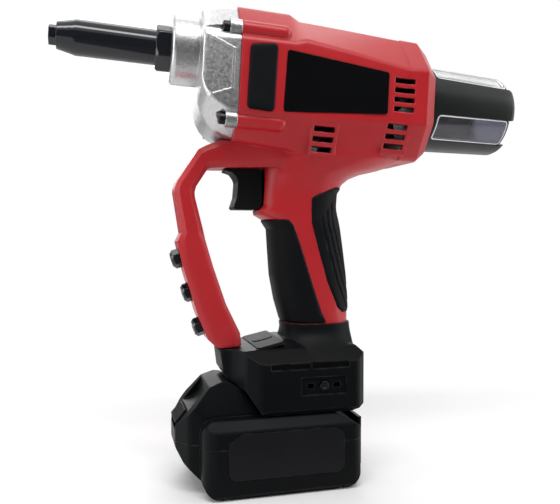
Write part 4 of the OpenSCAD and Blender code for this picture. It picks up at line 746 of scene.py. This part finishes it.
# Control panel and its button on the slope of the base.
# A moulded grey plate with a slim oval key, set into the base from above.
panel_grey = finish(
    "panel_grey", dark=(0.008, 0.008, 0.0095), light=(0.012, 0.012, 0.0138), worn_and_highlit_edge=(0.05, 0.05, 0.053),
    rough=(0.46, 0.58), bumps=3000.0, depth=0.00003, radius=0.0005, Specular_IOR_Level=0.06,
)
dress(panel_grey, "control_panel", "panel_button")

# Boards and cells, hidden inside.
# Glass-epoxy boards under green lacquer, held in slots, and steel cells in plain blue shrunk sleeves.
board_green = finish(
    "board_green", dark=(0.02, 0.12, 0.05), light=(0.03, 0.17, 0.07), worn_and_highlit_edge=(0.2, 0.25, 0.1),
    rough=(0.3, 0.4), bumps=900.0, depth=0.00002, radius=0.0002,
)
cell_sleeve = finish(
    "cell_sleeve", dark=(0.05, 0.14, 0.30), light=(0.07, 0.18, 0.36), worn_and_highlit_edge=(0.2, 0.3, 0.5),
    rough=(0.28, 0.38), bumps=700.0, depth=0.00001, radius=0.0004,
)
dress(board_green, "control_board", "battery_board")
dress(cell_sleeve, "battery_cells")

# Sleeve of the collector.
# A black plastic moulding, a little glossier than the base, pushed over the cup and open at its windows.
sleeve_black = finish(
    "sleeve_black", dark=(0.006, 0.0072, 0.0072), light=(0.010, 0.0115, 0.0115), worn_and_highlit_edge=(0.03, 0.032, 0.032),
    rough=(0.30, 0.40), bumps=3000.0, depth=0.00002, radius=0.0008, Specular_IOR_Level=0.3,
)
dress(sleeve_black, "collector_sleeve")

# Clear cup of the collector.
# Clear polycarbonate inside the sleeve, with fine scratches from spent mandrels, matt where its edges
# are rounded, and smoky low down where dust settles.
cup_bumps, cup_clouds, cup_bump_depth, cup_edge_radius = 260.0, 40.0, 0.00002, 0.0011
cup_rough, frost_full = (0.05, 0.16), 0.35
dust_full, dust_gone = 0.236, 0.262
smoky, clear_tone, frosted = (0.33, 0.33, 0.39, 1), (0.94, 0.94, 0.95, 1), (0.95, 0.95, 0.95, 1)
clear_cup = bpy.data.materials.new("clear_cup")
clear_cup.use_nodes = True
cup_tree = clear_cup.node_tree
cup_shader = cup_tree.nodes["Principled BSDF"]
cup_grain = place(
    cup_tree, "ShaderNodeGroup", {"Bumps": cup_bumps, "Clouds": cup_clouds}, node_tree=grain_group
).outputs
cup_edges = place(
    cup_tree, "ShaderNodeGroup", {"Radius": cup_edge_radius, "Patches": 0.0}, node_tree=edge_group
).outputs
cup_bump = place(
    cup_tree, "ShaderNodeBump", {"Height": cup_grain["Height"], "Strength": 1.0, "Distance": cup_bump_depth}
)
cup_spot = place(cup_tree, "ShaderNodeTexCoord").outputs["Object"]
cup_level = place(cup_tree, "ShaderNodeSeparateXYZ", {0: cup_spot}).outputs["Z"]
cup_dust = ranged(cup_tree, cup_level, dust_full, dust_gone, interpolation_type="SMOOTHSTEP")
cup_rim = ranged(cup_tree, cup_edges["Edge"], 0.0, frost_full)
cup_gloss = ranged(cup_tree, cup_grain["Cloud"], cloud_low, cloud_high, *cup_rough)
cup_tone = blended(cup_tree, cup_dust, smoky, clear_tone)
cup_tree.links.new(blended(cup_tree, cup_rim, cup_tone, frosted), cup_shader.inputs["Base Color"])
cup_tree.links.new(worked(cup_tree, "MAXIMUM", cup_gloss, cup_rim), cup_shader.inputs["Roughness"])
cup_tree.links.new(cup_bump.outputs[0], cup_shader.inputs["Normal"])
cup_shader.inputs["Transmission Weight"].default_value = 1.0
cup_shader.inputs["IOR"].default_value = 1.58
dress(clear_cup, "collector_cup")

# Painted highlight rims round the cup's four panes.
# A thin matt white tube just inside each pane's edge paints the bright line of light along the window frame.
painted_rim_highlight = finish(
    "painted_rim_highlight", dark=(0.86, 0.865, 0.88), light=(0.94, 0.94, 0.95), worn_and_highlit_edge=(0.95, 0.95, 0.95),
    rough=(0.26, 0.40), bumps=2600.0, depth=0.00001, radius=0.0002,
)
collector_drop = 20.0
pane_count, first_pane_turn = 4, 125.0
pane_front, pane_rear, pane_half, pane_corner = 6.7, 59.0, 8.5, 2.2
pane_outline = [
    (pane_front, -pane_half), (pane_rear, -pane_half), (pane_rear, pane_half), (pane_front, pane_half)
]
taper_start, taper_length, taper_radius, taper_drop = 4.0, 55.7, 28.25, 2.0
bead_front, bead_rear, bead_sink, bead_sides, bead_step = 0.56, 0.46, 0.34, 10, 1.5


def pane_radius(x):
    """Radius of the panes' outer face, which tapers to the rear."""
    return taper_radius - taper_drop * (x - taper_start) / taper_length


def bead_path():
    """The bead's line on a flat pane, in short steps all the way round."""
    corners = rounded(pane_outline, pane_corner)
    path = []
    for a, b in zip(corners, corners[1:] + corners[:1]):
        parts = max(1, round((b - a).length / bead_step))
        path += [a.lerp(b, k / parts) for k in range(parts)]
    return path


rim_bm = bmesh.new()
for pane in range(pane_count):
    turn = math.radians(first_pane_turn + 360.0 / pane_count * pane)
    line, outward = [], []
    for spot in bead_path():
        up = math.sqrt(pane_radius(spot.x) ** 2 - spot.y ** 2)
        away = Vector((
            0.0, spot.y * math.cos(turn) - up * math.sin(turn), spot.y * math.sin(turn) + up * math.cos(turn)
        ))
        outward.append(away.normalized())
        line.append(Vector((spot.x, 0.0, 0.0)) + away - away.normalized() * bead_sink)
    rings = []
    for i, spot in enumerate(line):
        along = (line[(i + 1) % len(line)] - line[i - 1]).normalized()
        across = along.cross(outward[i]).normalized()
        share = (spot.x - pane_front) / (pane_rear - pane_front)
        thick = bead_front + (bead_rear - bead_front) * share
        ring = []
        for k in range(bead_sides):
            a = 2 * math.pi * k / bead_sides
            p = spot + (outward[i] * math.cos(a) + across * math.sin(a)) * thick
            ring.append(rim_bm.verts.new(on_barrel(body_length + p.x, p.y, p.z - collector_drop)))
        rings.append(ring)
    for ring, following in zip(rings, rings[1:] + rings[:1]):
        bridge(rim_bm, ring, following)
# The white tubes are a painted highlight line round the panes.
painted_highlight_rims = make_piece("painted_highlight_rims", rim_bm, painted_rim_highlight)
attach(painted_highlight_rims, "collector")

bpy.context.view_layer.update()
